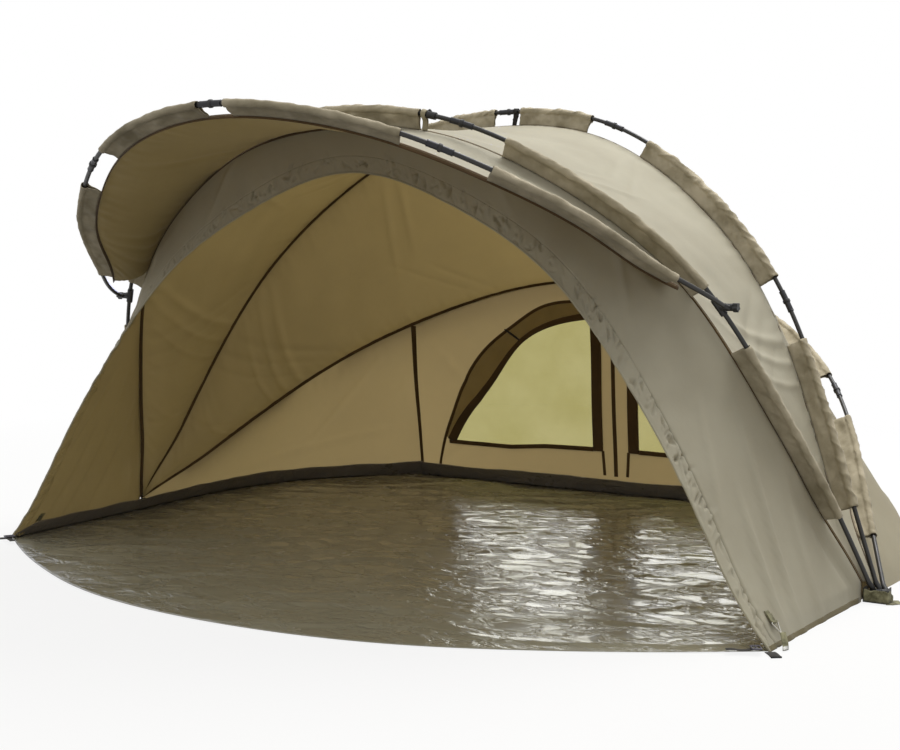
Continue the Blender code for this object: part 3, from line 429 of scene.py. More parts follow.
# The rolled end swells by the rise and then drops in
ROLL_RISE, ROLL_DROP = 0.0007, 0.0016
for label, joins in rib_joins.items():
    normal, body = plane_normal(LEANS[label]), f"{label}_rib"
    for i, middle in enumerate(joins):
        half = FERRULE_LENGTH / 2
        line = stretch_of(label, middle - half, middle + half, FERRULE_LENGTH / 40)
        along = np.abs(np.linspace(-1, 1, len(line)))
        rolled = ROLL_RISE * np.exp(-((along - 0.94) / 0.035) ** 2)
        rolled -= ROLL_DROP * np.clip((along - 0.97) / 0.03, 0, 1)
        core = line[along < COLLAR_SHARE]
        across = np.abs(np.linspace(-1, 1, len(core)))
        swell = FERRULE_RADIUS + (COLLAR_RADIUS - FERRULE_RADIUS) * np.clip((1.02 - across) * 6, 0.05, 1)
        name = f"ferrule_{label}_{i + 1}"
        tube = shell(swept(line, normal, circle(FERRULE_RADIUS + rolled)))
        piece(f"{name}_tube", [tube], [anodised], body, [name], sharp=50)
        collar = shell(swept(core, normal, circle(swell)))
        piece(f"{name}_collar", [collar], [nylon], body, sharp=40)


# Ground hinges, brackets and knobs: a folded hinge base with two cheeks and a headed steel pin through the
# three eyes, and at each foot of the peak rib a nylon bracket with a thumb knob. Their edges are rounded.

# Plain drawn steel: pale grey, smooth, with a slight brown haze from weather
steel = rough_coat("drawn steel wire", "#B9B6AD", 0.3, metallic=1.0, grain=0.0006)
# Blackened steel for the hinge pins: dark, with a dull shine
dark_steel = rough_coat("blackened steel", "#3A3733", 0.45, metallic=0.8, grain=0.0006)


def merged(name):
    """A CAD node's triangles, with the corners that share a place, to a micrometre, made one point."""
    mesh = bpy.data.objects[name].data
    places = np.zeros(3 * len(mesh.vertices))
    mesh.vertices.foreach_get("co", places)
    corners = np.zeros(len(mesh.loops), int)
    mesh.loops.foreach_get("vertex_index", corners)
    points, which = np.unique(places.reshape(-1, 3).round(6), axis=0, return_inverse=True)
    return points, which.ravel()[corners].reshape(-1, 3).tolist(), None


for kind, part, finish, rounding, body, slot in (
    ("hinge_base", "moulding", nylon, 0.0012, "floor_and_walls", "moulding"),
    ("hinge_pin", "bolt", dark_steel, 0.0006, "floor_and_walls", "steel"),
    ("bracket", "moulding", nylon, 0.0012, "front_rib", "moulding"),
    ("knob", "moulding", nylon, 0.0016, "knob_{}", "moulding"),
):
    for side, _ in SIDES:
        name = f"{kind}_{side}"
        made = piece(f"{name}_{part}", [merged(name)], [finish], body.format(side), [name], sharp=30)
        soft_edge = made.modifiers.new("rounded edges", "BEVEL")
        soft_edge.width, soft_edge.segments, soft_edge.limit_method = rounding, 2, "ANGLE"
        soft_edge.angle_limit = math.radians(40)


# Coated cloth: every panel and sleeve is a woven polyester, khaki outside and proofed olive brown inside,
# that lets a little light through. Its weave follows each piece's own map, which is in metres on the cloth.

CREASE_SIZE = 0.035


def proofed_cloth(name, colour, shade, roughness, glow, glow_colour, thread=0.0028, crumple=0.0012, coat=0.0,
                  holes=0.0, blot=0.22):
    """Woven cloth: crossed sine threads in relief, blotched colour, and a share of light let through.

    Real threads are 0.25 mm apart, too fine to show from the camera, so they are drawn about ten times as
    coarse. A wave texture's bands are pi / 10 apart at scale 1.
    """
    made = bpy.data.materials.new(name)
    tree = emptied(made)
    coords = node(tree, "ShaderNodeTexCoord")
    place = coords.outputs["Object"]
    threads = [node(tree, "ShaderNodeTexWave", {"bands_direction": way, "Scale": math.pi / 10 / thread},
                    {"Vector": coords.outputs["UV"]}).outputs["Fac"] for way in "XY"]
    weave = node(tree, "ShaderNodeMath", {"operation": "MULTIPLY"}, {0: threads[0], 1: threads[1]})
    blotch = node(tree, "ShaderNodeTexNoise", {"Scale": 1 / blot, "Detail": 4.0, "Roughness": 0.6},
                  {"Vector": place})
    creased = node(tree, "ShaderNodeTexNoise", {"Scale": 1 / CREASE_SIZE, "Detail": 3.0, "Distortion": 0.6},
                   {"Vector": place})
    spread = node(tree, "ShaderNodeMapRange", {"From Min": 0.32, "From Max": 0.68},
                  {"Value": blotch.outputs["Fac"]})
    tint = node(tree, "ShaderNodeMix", {"data_type": "RGBA", 6: linear(shade), 7: linear(colour)},
                {0: spread})
    tight = node(tree, "ShaderNodeBump", {"Strength": 0.35, "Distance": 0.0002}, {"Height": weave})
    bump = node(tree, "ShaderNodeBump", {"Strength": 0.5, "Distance": crumple},
                {"Height": creased.outputs["Fac"], "Normal": tight})
    face = node(tree, "ShaderNodeBsdfPrincipled",
                {"Roughness": roughness, "Sheen Weight": 0.12, "Sheen Roughness": 0.5, "Coat Weight": coat,
                 "Coat Roughness": 0.35, "Specular IOR Level": 0.3},
                {"Base Color": tint.outputs[2], "Normal": bump})
    through = node(tree, "ShaderNodeBsdfTranslucent", {"Color": linear(glow_colour)}, {"Normal": bump})
    cloth = node(tree, "ShaderNodeMixShader", {0: glow}, {1: face, 2: through})
    if holes:
        clear = node(tree, "ShaderNodeBsdfTransparent")
        cloth = node(tree, "ShaderNodeMixShader", {0: holes}, {1: cloth, 2: clear})
    node(tree, "ShaderNodeOutputMaterial", None, {"Surface": cloth})
    return made


# Khaki outer face: matt with a faint sheen, a little paler where it is stretched
outer_cloth = proofed_cloth("coated polyester, khaki face", "#BCB8A4", "#B0AB97", 0.72, 0.34, "#D8C9A0")
# Proofed inner face: smoother, warm olive brown
inner_cloth = proofed_cloth("coated polyester, proofed olive back", "#A3946D", "#968761", 0.6, 0.47,
                            "#E2D4AC", coat=0.1)


def ripple(a, b, length, seed):
    """Smooth uneven waves about one length long: the sum of nine sines in seeded directions, over three."""
    rng = np.random.default_rng(seed)
    total = 0
    for turn, longer, phase in rng.uniform((0, 0.7, 0), (math.pi, 1.6, 2 * math.pi), (9, 3)):
        across = a * math.cos(turn) + b * math.sin(turn)
        total = total + np.sin(across * 2 * math.pi / (length * longer) + phase)
    return total / 3


def ridge(a, b, length, seed):
    """Sharp creases with flat ground between them: the square of (1 - 1.7 |ripple|), never below zero."""
    return np.clip(1 - 1.7 * np.abs(ripple(a, b, length, seed)), 0, 1) ** 2


def fold(a, b, start, finish, width):
    """A tension fold: exp(-(distance from a line / width)^2), fading to nothing at both ends of the line."""
    start, finish = np.array(start), np.array(finish)
    line = finish - start
    length = np.linalg.norm(line)
    along = ((a - start[0]) * line[0] + (b - start[1]) * line[1]) / length**2
    off = ((a - start[0]) * line[1] - (b - start[1]) * line[0]) / length
    return np.exp(-((off / width) ** 2)) * np.clip(np.sin(math.pi * np.clip(along, 0, 1)), 0, 1)


def twin_folds(a, b, rows):
    """Folds on both sides of the middle: the sum over rows of (a, b) to (a, b), depth and width."""
    return sum(deep * fold(a, b, (sign * a0, b0), (sign * a1, b1), width)
               for _, sign in SIDES for a0, b0, a1, b1, deep, width in rows)


CLOTH_WALL = 0.0009


def map_of(grid):
    """Distances on the cloth: along each row from the middle station, and across from the first row."""
    along = np.cumsum(np.linalg.norm(np.diff(grid, axis=1), axis=2), axis=1)
    along = np.concatenate([np.zeros((len(grid), 1)), along], axis=1)
    along = along - along[:, along.shape[1] // 2][:, None]
    across = np.cumsum(np.linalg.norm(np.diff(grid, axis=0), axis=2), axis=0)
    return along, np.concatenate([np.zeros((1, grid.shape[1])), across], axis=0)


def open_shell(grid, uv, outward):
    """A one-sided skin over a grid and its map, turned so that its middle faces along a direction."""
    rows, count = grid.shape[:2]
    cells = cells_of(np.arange(rows * count).reshape(rows, count))
    normal = np.cross(np.gradient(grid, axis=1), np.gradient(grid, axis=0))[rows // 2, count // 2]
    if normal @ outward < 0:
        cells = cells[:, ::-1]
    return grid.reshape(-1, 3), cells.tolist(), uv.reshape(-1, 2)[cells].reshape(-1, 2)


def give_wall(made, thickness=CLOTH_WALL):
    """Cloth's thickness: a wall about the skin, with the piece's second material on its back and edges."""
    wall = made.modifiers.new("wall", "SOLIDIFY")
    wall.thickness, wall.offset, wall.material_offset, wall.material_offset_rim = thickness, 0, 1, 1


def cloth_panel(name, grid, outside, nodes=(), material=outer_cloth,
                back=None, body=None, thickness=CLOTH_WALL):
    """A panel from a grid, its outer face towards the outside point, with a wall and its flat size.

    The back is of its own material, or of the outer face's.
    """
    along, across = map_of(grid)
    outward = np.array(outside) - grid[len(grid) // 2, grid.shape[1] // 2]
    skin = open_shell(grid, np.stack([along, across], axis=-1), outward)
    made = piece(name, [skin], [material, back or material], body, nodes)
    give_wall(made, thickness)
    return made


# Sleeves: strips of a heavier weave folded over each pole and sewn into the seam below it, in stretches with
# the pole and its ferrules bare between them. Each end is hemmed and cut square.

# Sleeve cloth: a heavier, darker taupe weave
sleeve_cloth = proofed_cloth("heavy sleeve weave, taupe", "#BAAF96", "#8A8067", 0.8, 0.08, "#A08C60",
                             crumple=0.003, blot=0.1)
# Where each stretch of sleeve starts and ends, as shares of the rib's half span
SLEEVE_SHARES = {
    "front": ((0.95, 0.809), (0.744, 0.38), (0.196, -0.196)),
    "mid": ((0.934, 0.792), (0.716, 0.383), (0.23, 0.036)),
    "rear": ((0.94, 0.793), (0.711, -0.711)),
    "peak": ((0.931, 0.635), (0.46, 0.041)),
}
SEAM_DEPTH, SEAM_FOOT_DEPTH, SEAM_TAPER = 0.05, 0.018, 0.35
POCKET_RADIUS, WEB_HALF, WEB_SWELL = 0.0098, 0.0013, 0.0055
HEM_LENGTH, HEM_RISE = 0.014, 0.0009
SLEEVE_STEP = 0.006
SLEEVE_CREASE = {"front": 0.002, "mid": 0.0046, "rear": 0.0016, "peak": 0.0009}


def inward(path, lean):
    """Unit vectors in a rib's plane, square to the pole and towards the inside of the tent."""
    sideways = np.cross(np.gradient(path, axis=0), plane_normal(lean))
    sideways /= np.linalg.norm(sideways, axis=1)[:, None]
    inside = path[len(path) // 2] * np.array([0, 1, 1]) * 0.4 - path
    return sideways * np.sign((sideways * inside).sum(axis=1))[:, None]


def seam_line(label):
    """The line the panels are sewn along, below the pole by a depth that eases in over the first 35 cm."""
    path, run = paths[label], runs[label]
    near = np.clip(np.minimum(run, run[-1] - run) / SEAM_TAPER, 0, 1)
    ease = near * near * (3 - 2 * near)
    depth = SEAM_FOOT_DEPTH + (SEAM_DEPTH - SEAM_FOOT_DEPTH) * ease
    return path + inward(path, LEANS[label]) * depth[:, None]


seams = {label: seam_line(label) for label in LEANS}


def sleeve_grid(label, start, finish, seed):
    """One stretch of sleeve: a strip from the seam up round the pole and back down, carried along the rib.

    Its half width is the web's, swelling into the pocket's circle, plus the hem at both ends. The strip sways
    to the side by a ripple that is nothing at the seam and at the pole, and creases cross web and pocket.
    """
    places = np.linspace(start, finish, max(8, int((finish - start) / SLEEVE_STEP)))
    seam = read_at(places, runs[label], seams[label])
    up = read_at(places, runs[label], paths[label]) - seam
    depth = np.linalg.norm(up, axis=1)[:, None]
    up = up / depth
    s = places[:, None]
    end = np.minimum(s - start, finish - s)
    hem = HEM_RISE * np.clip((HEM_LENGTH - end) / 0.001 + 0.5, 0, 1)
    web = np.linspace(0, 1, 9)[:-1][None]
    turn = np.linspace(-0.32 * math.pi, 1.32 * math.pi, 20)[None]
    deep = SLEEVE_CREASE[label]
    pocket = POCKET_RADIUS * (1 + 0.1 * ripple(s, turn * 0.02, 0.05, seed)) + hem
    pocket = pocket + deep * ridge(s + turn * 0.012, turn * 0.01, 0.06, seed + 3)
    height = web * (depth - POCKET_RADIUS * 0.84)
    half = WEB_HALF + hem + (WEB_SWELL - WEB_HALF) * web**2.5
    half = half + deep * ridge(s + height * 0.9, height * 0.4, 0.07, seed + 4) * np.clip(web * 3, 0, 1)
    sway = 0.0028 * ripple(s, height, 0.07, seed + 1) * np.sin(math.pi * web)
    sway = sway + 0.0012 * ripple(s, height, 0.028, seed + 2) * web
    right = np.stack([half + sway, height], axis=-1)
    left = np.stack([sway - half, height], axis=-1)[:, ::-1]
    bag = np.stack([pocket * np.cos(turn), depth + pocket * np.sin(turn)], axis=-1)
    section = np.concatenate([right, bag, left], axis=1)
    grid = seam[:, None] + plane_normal(LEANS[label]) * section[..., :1] + up[:, None] * section[..., 1:]
    return np.swapaxes(grid, 0, 1)


def sleeve(name, label, start, finish, seed, cloth):
    """A stretch of sleeve, or of a tie folded the same way, between two distances along a rib."""
    grid = sleeve_grid(label, start, finish, seed)
    crest = grid[len(grid) // 2, grid.shape[1] // 2]
    seam = read_at(np.array([(start + finish) / 2]), runs[label], seams[label])[0]
    cloth_panel(name, grid, crest + 0.1 * (crest - seam), [f"sleeve_{label}"],
                material=cloth, body=f"{label}_rib")


for k, (label, pairs) in enumerate(SLEEVE_SHARES.items()):
    stretches = sorted({tuple(sorted(run_at(label, sign * share * FEET[label]) for share in pair))
                        for pair in pairs for _, sign in SIDES})
    for i, (start, finish) in enumerate(stretches):
        sleeve(f"sleeve_{label}_{i + 1}", label, start, finish, 100 * k + 10 * i, sleeve_cloth)


# Rib ties: narrow webbing loops sewn to the seam, two on the front rib and one beside the middle ferrule of
# the mid rib, that hold the ribs to the roof where the sleeves stop. A moulded hook clips on the front rib.

# Khaki webbing: a close plain weave, the colour of the sleeves
khaki_webbing = proofed_cloth("woven webbing, khaki", "#A39A80", "#938A70", 0.85, 0.1, "#A08C60",
                              thread=0.004)
# Dark webbing: a coarse plain weave in black brown
dark_webbing = proofed_cloth("woven webbing, black brown", "#2A2621", "#1F1C18", 0.9, 0.0, "#1F1C18",
                             thread=0.004)
TIE_HALF, TIE_SEED = 0.007, 7
for name, label, x, webbing in (("front_tie_right", "front", 0.288, khaki_webbing),
                                ("front_tie_left", "front", -0.288, khaki_webbing),
                                ("mid_tie", "mid", 0.03, dark_webbing)):
    middle = run_at(label, x)
    sleeve(name, label, middle - TIE_HALF, middle + TIE_HALF, TIE_SEED, webbing)

HOOK_X, HOOK_RADIUS, HOOK_LENGTH, BARB_RADIUS = 0.31, 0.0105, 0.026, 0.0024
middle = run_at("front", HOOK_X)
line = stretch_of("front", middle - HOOK_LENGTH / 2, middle + HOOK_LENGTH / 2, HOOK_LENGTH / 12)
clip = shell(swept(line, plane_normal(LEANS["front"]), circle(HOOK_RADIUS)))
tip = np.linspace(0, 1, 12)[:, None]
root = line[len(line) // 2] + np.array([0, 0, HOOK_RADIUS * 0.7])
tongue = root + np.array([-0.012, 0, 0.004]) * tip + np.array([0, 0, 0.006]) * np.sin(math.pi * tip)
barb = shell(swept(tongue, (0.0, 1.0, 0.0), circle(BARB_RADIUS, 10)))
piece("front_hook", [clip, barb], [nylon], "front_rib", sharp=40)


# Seam bindings: the raw edges of the panels under each rib are bound inside with brown tape, from hinge to
# hinge. The front rib's is deeper, because three panels meet in it, and lies behind the door surround.

# Binding: brown grosgrain tape, matt, ribbed across
binding = proofed_cloth("brown grosgrain binding", "#5A4529", "#4B3920", 0.85, 0.0, "#2A1D0B", thread=0.0022)
PANEL_START = 0.04
BINDING_HALF, BINDING_RISE, FRONT_BINDING_RISE = 0.0075, 0.002, 0.005


def panel_start(label):
    """How far along a rib its panels begin: where the seam is 4 cm from the foot, or by the peak's sleeve."""
    if label == "peak":
        return run_at(label, -SLEEVE_SHARES[label][0][0] * FEET[label]) - FERRULE_LENGTH / 2
    half = len(seams[label]) // 2
    far = np.linalg.norm(seams[label] - paths[label][0], axis=1)[:half]
    return float(np.interp(PANEL_START, far, runs[label][:half]))


def seam_stretch(label, start=None, finish=None, count=240):
    """A rib's seam line between two distances along the pole, or from one panel end to the other."""
    if start is None:
        start = panel_start(label)
        finish = runs[label][-1] - start
    return read_at(np.linspace(start, finish, count + 1), runs[label], seams[label])


def flattened(half, rise, count=12):
    """A flat oval section, a tape's, with its points from (half cos, rise sin)."""
    turn = np.linspace(0, 2 * math.pi, count, endpoint=False)
    return np.stack([half * np.cos(turn), rise * np.sin(turn) + 0 * half], axis=-1)


for label, lean in LEANS.items():
    line = seam_stretch(label, count=260)
    rise = FRONT_BINDING_RISE if label == "front" else BINDING_RISE
    line = line + inward(line, lean) * rise
    if label == "front":
        line = line + plane_normal(lean) * BINDING_HALF * 0.6
    tape = shell(swept(line, plane_normal(lean), flattened(BINDING_HALF, rise)))
    piece(f"binding_{label}", [tape], [binding], f"{label}_rib", [f"sleeve_{label}"])


# Roof: two panels cut from khaki cloth, sewn to the ribs' seams on both long edges, so each spans from rib to
# rib and dips a little between them, with folds of tension where the sleeves stop.

ROOF_SAG, ROOF_ROWS, ROOF_COLUMNS = 0.018, 60, 560
SEAM_STATIONS = 1200
# Each fold's place along the seam, how far it leans over, its depth and its width
ROOF_FOLDS = ((0.47, 0.16, 0.006, 0.014), (0.53, 0.22, 0.005, 0.012), (1.12, 0.3, 0.008, 0.02),
              (1.2, 0.34, 0.007, 0.017), (1.3, 0.3, 0.005, 0.013), (1.62, 0.2, 0.005, 0.014))


def spanned(first, last, rows, sag=0.0):
    """A grid between two edges, straight across but drawn towards a point by 4 sag share (1 - share).

    The rows are a count, for even rows, or the share of the way across at each point of the grid. The point
    is over the tent's middle line at the hinges' height, midway between the edges' mean y.
    """
    share = np.linspace(0, 1, rows + 1)[:, None, None] if np.isscalar(rows) else rows[..., None]
    grid = first[None] * (1 - share) + last[None] * share
    if sag:
        towards = np.array([0, (first[:, 1].mean() + last[:, 1].mean()) / 2, HINGE_HEIGHT]) - grid
        towards /= np.linalg.norm(towards, axis=2)[..., None]
        grid = grid + towards * sag * 4 * share * (1 - share)
    return grid


def raised(grid, height):
    """The grid moved along its own surface normals, along x across, by a height at each point."""
    normal = np.cross(np.gradient(grid, axis=1), np.gradient(grid, axis=0))
    length = np.linalg.norm(normal, axis=2)[..., None]
    return grid + normal / np.maximum(length, 1e-9) * height[..., None]


def settled(across, reach):
    """The distance from the nearer long edge, and that distance over the reach, one at most."""
    edge = np.minimum(across, across[-1] - across)
    return edge, np.clip(edge / reach, 0, 1)


def blended(made, pivot):
    """The panel's place, baked into its points.

    The pivot is not used.
    """
    pivot = np.array([0, *pivot])
    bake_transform(made)


for name, ahead, back, seed in (("roof_front", "front", "mid", 1), ("roof_rear", "mid", "rear", 2)):
    first = seam_stretch(ahead, count=SEAM_STATIONS) + plane_normal(LEANS[ahead]) * WEB_HALF
    last = seam_stretch(back, count=SEAM_STATIONS) - plane_normal(LEANS[back]) * WEB_HALF
    grid = spanned(resampled(first, ROOF_COLUMNS), resampled(last, ROOF_COLUMNS), ROOF_ROWS, ROOF_SAG)
    along, across = map_of(grid)
    share = across / np.maximum(across[-1], 1e-6)
    edge, settle = settled(across, 0.03)
    height = 0.0022 * ripple(along, across * 0.3, 0.045, seed) * np.exp(-edge / 0.045) * settle
    height += 0.0035 * ripple(along, across, 0.42, seed + 5) * np.sin(math.pi * share)
    height += 0.0012 * ripple(along * 0.6, across, 0.11, seed + 9) * settle
    for from_edge, deeper, longer in ((across, 1.0, 1.0), (across[-1] - across, -0.7, 0.8)):
        height += settle * twin_folds(along, from_edge, [
            (place, 0.02, place + over, (0.3 + over) * longer, deep * deeper, width)
            for place, over, deep, width in ROOF_FOLDS])
    roof = cloth_panel(f"{name}_cloth", raised(grid, height), (0, 0, 4), [name],
                       back=inner_cloth)
    blended(roof, PIVOTS["front"])


# Peak canopy: one khaki panel from the front rib's seam out to the peak rib's seam, drawn tight over the
# porch with folds of tension running in from the brackets. Its back face is darker, as painted shade.

# Porch back face: proofed cloth darkened as painted shade under the porch, and letting less light through
porch_back_painted_shade = proofed_cloth("coated polyester, porch back with painted shade", "#867957", "#7A6D4C", 0.6, 0.22, "#E0CFA0",
                            coat=0.1)
PEAK_SAG, PEAK_ROWS, PEAK_COLUMNS, PEAK_REACH = 0.02, 50, 400, 0.13
PEAK_FOLDS = ((0.98, 0.007, 0.014), (1.03, 0.006, 0.012), (1.09, 0.005, 0.012), (0.55, 0.004, 0.02))
canopy_end = SLEEVE_SHARES["front"][1][0] * FEET["front"] - SEAM_DEPTH
first = seam_stretch("peak", count=SEAM_STATIONS) + plane_normal(LEANS["peak"]) * WEB_HALF
last = seam_stretch("front", run_at("front", -canopy_end), run_at("front", canopy_end), SEAM_STATIONS)
last = last - plane_normal(LEANS["front"]) * WEB_HALF
grid = spanned(resampled(first, PEAK_COLUMNS), resampled(last, PEAK_COLUMNS), PEAK_ROWS, PEAK_SAG)
along, across = map_of(grid)
edge, settle = settled(across, 0.025)
height = 0.0018 * ripple(along, across * 0.3, 0.05, 31) * np.exp(-edge / 0.04) * settle
height += 0.003 * ripple(along, across, 0.36, 33) * settle
height += settle * twin_folds(along, across, [(place, 0.02, place - 0.22, 0.5, deep, width)
                                              for place, deep, width in PEAK_FOLDS])
canopy = cloth_panel("peak_canopy_cloth", raised(grid, height), (0, 0, 4), ["peak_canopy"],
                     back=porch_back_painted_shade)
blended(canopy, PIVOTS["peak"])


# Door surround: one khaki panel from the front rib's seam in to the arch of the open door. A wide hem is sewn
# along that arch and rolled at its edge, so that it puckers all the way round. The panel's two ends on the
# ground are bound in olive brown tape, whose dark colour is partly painted shade along the bottom.

# Ground tape: olive brown grosgrain, matt, ribbed across, its darkness partly painted shade at the bottom
ground_tape_and_painted_shade = proofed_cloth("olive brown grosgrain tape with painted shade", "#6E6447", "#5E5539", 0.85, 0.0, "#2A1D0B",
                            thread=0.0022)
# The ends of the walls at the hinges, the front corners, and the height of every hem over the ground
CORNER_X, CORNER_Y = 1.366, 0.03
FRONT_CORNER_X, FRONT_CORNER_Y = 1.33, -0.656
HEM_LIFT = 0.001
ARCH_HEIGHT, ARCH_LEAN = 1.192, 0.1
ARCH_SHAPE = ((1, 0), (0.94, 0.085), (0.85, 0.253), (0.757, 0.42), (0.647, 0.587), (0.508, 0.755),
              (0.4, 0.84), (0.25, 0.925), (0.12, 0.98), (0, 1))
SURROUND_COLUMNS, BAND_WIDTH, BAND_ROWS, PANEL_ROWS = 1400, 0.048, 16, 36
SEAM_GAP, ROLL_RADIUS, TAPE_COLUMNS = 0.0027, 0.0032, 6
# Each fold from (along, across) to (along, across), its depth and its width, on either side of the door
SURROUND_FOLDS = (
    (2.02, 0.12, 1.5, 0.2, 0.012, 0.014), (2.08, 0.2, 1.42, 0.32, 0.011, 0.013),
    (2.1, 0.34, 1.55, 0.44, 0.008, 0.02), (1.95, 0.5, 1.4, 0.42, 0.008, 0.018),
    (1.2, 0.24, 0.75, 0.14, 0.006, 0.018), (1.1, 0.05, 0.8, 0.26, 0.006, 0.014),
    (0.6, 0.05, 0.35, 0.24, 0.005, 0.014), (1.62, 0.06, 1.3, 0.2, 0.006, 0.014),
)
CORNER_FOLD = (2.16, 0.07, 1.72, 0.05, -0.013, 0.024)


def squashed(pieces):
    """Each piece is given a mesh of its own."""
    for made in pieces:
        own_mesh(made)


def puckers(along, across, count, seed):
    """Short sharp creases over the hem: folds 16 to 45 mm long at seeded places, turns, widths and depths."""
    rng = np.random.default_rng(seed)
    reach = np.abs(along).max()
    total = np.zeros_like(along)
    lows, highs = (-reach, 0.003, 0.016, -1.3, 0.0028, -0.0095), (reach, 0.034, 0.045, 1.3, 0.0052, 0.006)
    for place, start, long, turn, width, deep in rng.uniform(lows, highs, (count, 6)):
        finish = (place + long * math.sin(turn), start + long * math.cos(turn))
        near = np.abs(along[0] - place) < 0.08
        total[:, near] += deep * fold(along[:, near], across[:, near], (place, start), finish, width)
    return total


flat = arch_outline(FRONT_CORNER_X, ARCH_HEIGHT, ARCH_SHAPE, SURROUND_COLUMNS)
arch = np.c_[flat[:, 0], FRONT_CORNER_Y + ARCH_LEAN * flat[:, 1], flat[:, 1] + HEM_LIFT]
line = seam_stretch("front", count=SEAM_STATIONS)
line = line + inward(line, LEANS["front"]) * SEAM_GAP
corner = np.array([CORNER_X, -CORNER_Y, HEM_LIFT])
line = resampled(np.vstack([corner * np.array([-1, 1, 1]), line, corner]), SURROUND_COLUMNS)
band_share = np.minimum(BAND_WIDTH / np.linalg.norm(line - arch, axis=1), 0.6)[None]
band_rows, panel_rows = np.linspace(0, 1, BAND_ROWS)[:, None], np.linspace(0, 1, PANEL_ROWS)[1:, None]
rows = np.concatenate([band_share * band_rows, band_share + (1 - band_share) * panel_rows])
grid = spanned(arch, line, rows)
along, across = map_of(grid)
back_edge = across[-1] - across
settle = np.clip(back_edge / 0.03, 0, 1)
hem_edge = 0.35 + 0.65 * np.clip(across / 0.014, 0, 1)
gather = 0.5 + 0.5 * np.clip(ripple(along, across * 0, 0.5, 44), -1, 1)
height = 0.003 * ripple(along + across * 0.25, across * 0.2, 0.06, 41) * np.exp(-across / 0.06)
height *= 0.35 + gather
creased = ridge(along + across * 0.5, across * 0.25, 0.05, 42) * np.exp(-((across / 0.06) ** 2))
height += 0.0035 * creased * gather
height += puckers(along, across, 420, 45)
height *= hem_edge * settle
height += 0.004 * ripple(along, across, 0.5, 43) * np.clip(across / 0.1, 0, 1) * settle
height += settle * (twin_folds(along, across, SURROUND_FOLDS) + twin_folds(along, back_edge, [CORNER_FOLD]))
grid = raised(grid, height)
surround = cloth_panel("door_surround_cloth", grid[BAND_ROWS - 1:, ::2], (0, -4, 0.5), ["door_surround"],
                       back=inner_cloth, body="front_rib")
hem = cloth_panel("door_hem_cloth", grid[:BAND_ROWS], (0, -4, 0.5), ["door_surround"],
                  back=inner_cloth, body="front_rib")
roll = shell(swept(resampled(grid[0], 800), plane_normal(-ARCH_LEAN), circle(ROLL_RADIUS, 8)))
hem_roll = piece("door_hem_roll", [roll], [outer_cloth], "front_rib")
squashed([surround, hem, hem_roll])
# The dark tape strips along the ground are hem tape with painted shade: they darken the panel's bottom edge
for (side, sign), columns in zip(SIDES, (slice(0, TAPE_COLUMNS), slice(-TAPE_COLUMNS, None))):
    strip = grid[:-1, columns] + np.array([sign * 0.0016, 0, 0.0005])
    tape = cloth_panel(f"surround_tape_painted_shade_{side}", strip, (sign * 4, -1, 0.01),
                       material=ground_tape_and_painted_shade, body="front_rib")
    squashed([tape])


# Walls: two side panels and one rear panel of a lighter cloth hang from the rear rib's seam to the ground,
# and are joined at the corners. The rear one has an opening for each window.

# Wall cloth: a lighter weave of the same two faces, which lets more of the light behind the tent through
wall_outer = proofed_cloth("lighter polyester, khaki face", "#BEB9A2", "#B2AC95", 0.72, 0.46, "#E2D4AE")
wall_inner = proofed_cloth("lighter polyester, proofed olive back", "#A3946D", "#968761", 0.6, 0.54,
                           "#E6D8B2", coat=0.1)
SIDE_BULGE = (1.318, 0.82)
REAR_CORNER, REAR_Y = (0.955, 1.305), 1.272
# Where the side and rear walls part on the rear rib, as a share of its half span
WALL_CORNER = 0.565
rear_normal = plane_normal(LEANS["rear"])


def side_line(sign, count, inset=0.0):
    """The tent's ground line on one side, from the hinge to the rear corner."""
    line = spline([(CORNER_X - inset, CORNER_Y), (SIDE_BULGE[0] - inset, SIDE_BULGE[1]),
                   (REAR_CORNER[0] - inset, REAR_CORNER[1] - inset)], count)
    return np.c_[sign * line[:, 0], line[:, 1], np.full(len(line), HEM_LIFT)]


def rear_line(x, inset=0.0):
    """The ground line across the back: y = middle + (corner - middle) (x / corner)^2."""
    y = REAR_Y + (REAR_CORNER[1] - REAR_Y) * (x / REAR_CORNER[0]) ** 2 - inset
    return np.stack([x, y, np.full_like(x, HEM_LIFT)], axis=-1)


corner_x = WALL_CORNER * FEET["rear"]
rear_edge = seam_stretch("rear", run_at("rear", -corner_x), run_at("rear", corner_x), 600)
rear_edge = rear_edge + rear_normal * WEB_HALF
rear_edge = rear_edge[np.argsort(rear_edge[:, 0])]
corner_z = rear_edge[-1, 2]
wall_up = rear_edge[300] - rear_line(np.zeros(1))[0]
wall_normal = np.cross((1, 0, 0), wall_up)
wall_normal *= np.sign(wall_normal[1]) / np.linalg.norm(wall_normal)


def wall_relief(x, z):
    """How far the rear wall's cloth stands out: a slow swell, with shallow folds drawn from its corners."""
    height = 0.004 * ripple(x, z, 0.5, 61) * np.clip(z / 0.1, 0, 1) * np.clip((0.86 - z) / 0.1, 0, 1)
    return height + twin_folds(x, z, ((0.78, 0.66, 0.45, 0.1, 0.005, 0.022),
                                      (0.9, 0.03, 0.55, 0.24, -0.004, 0.016)))


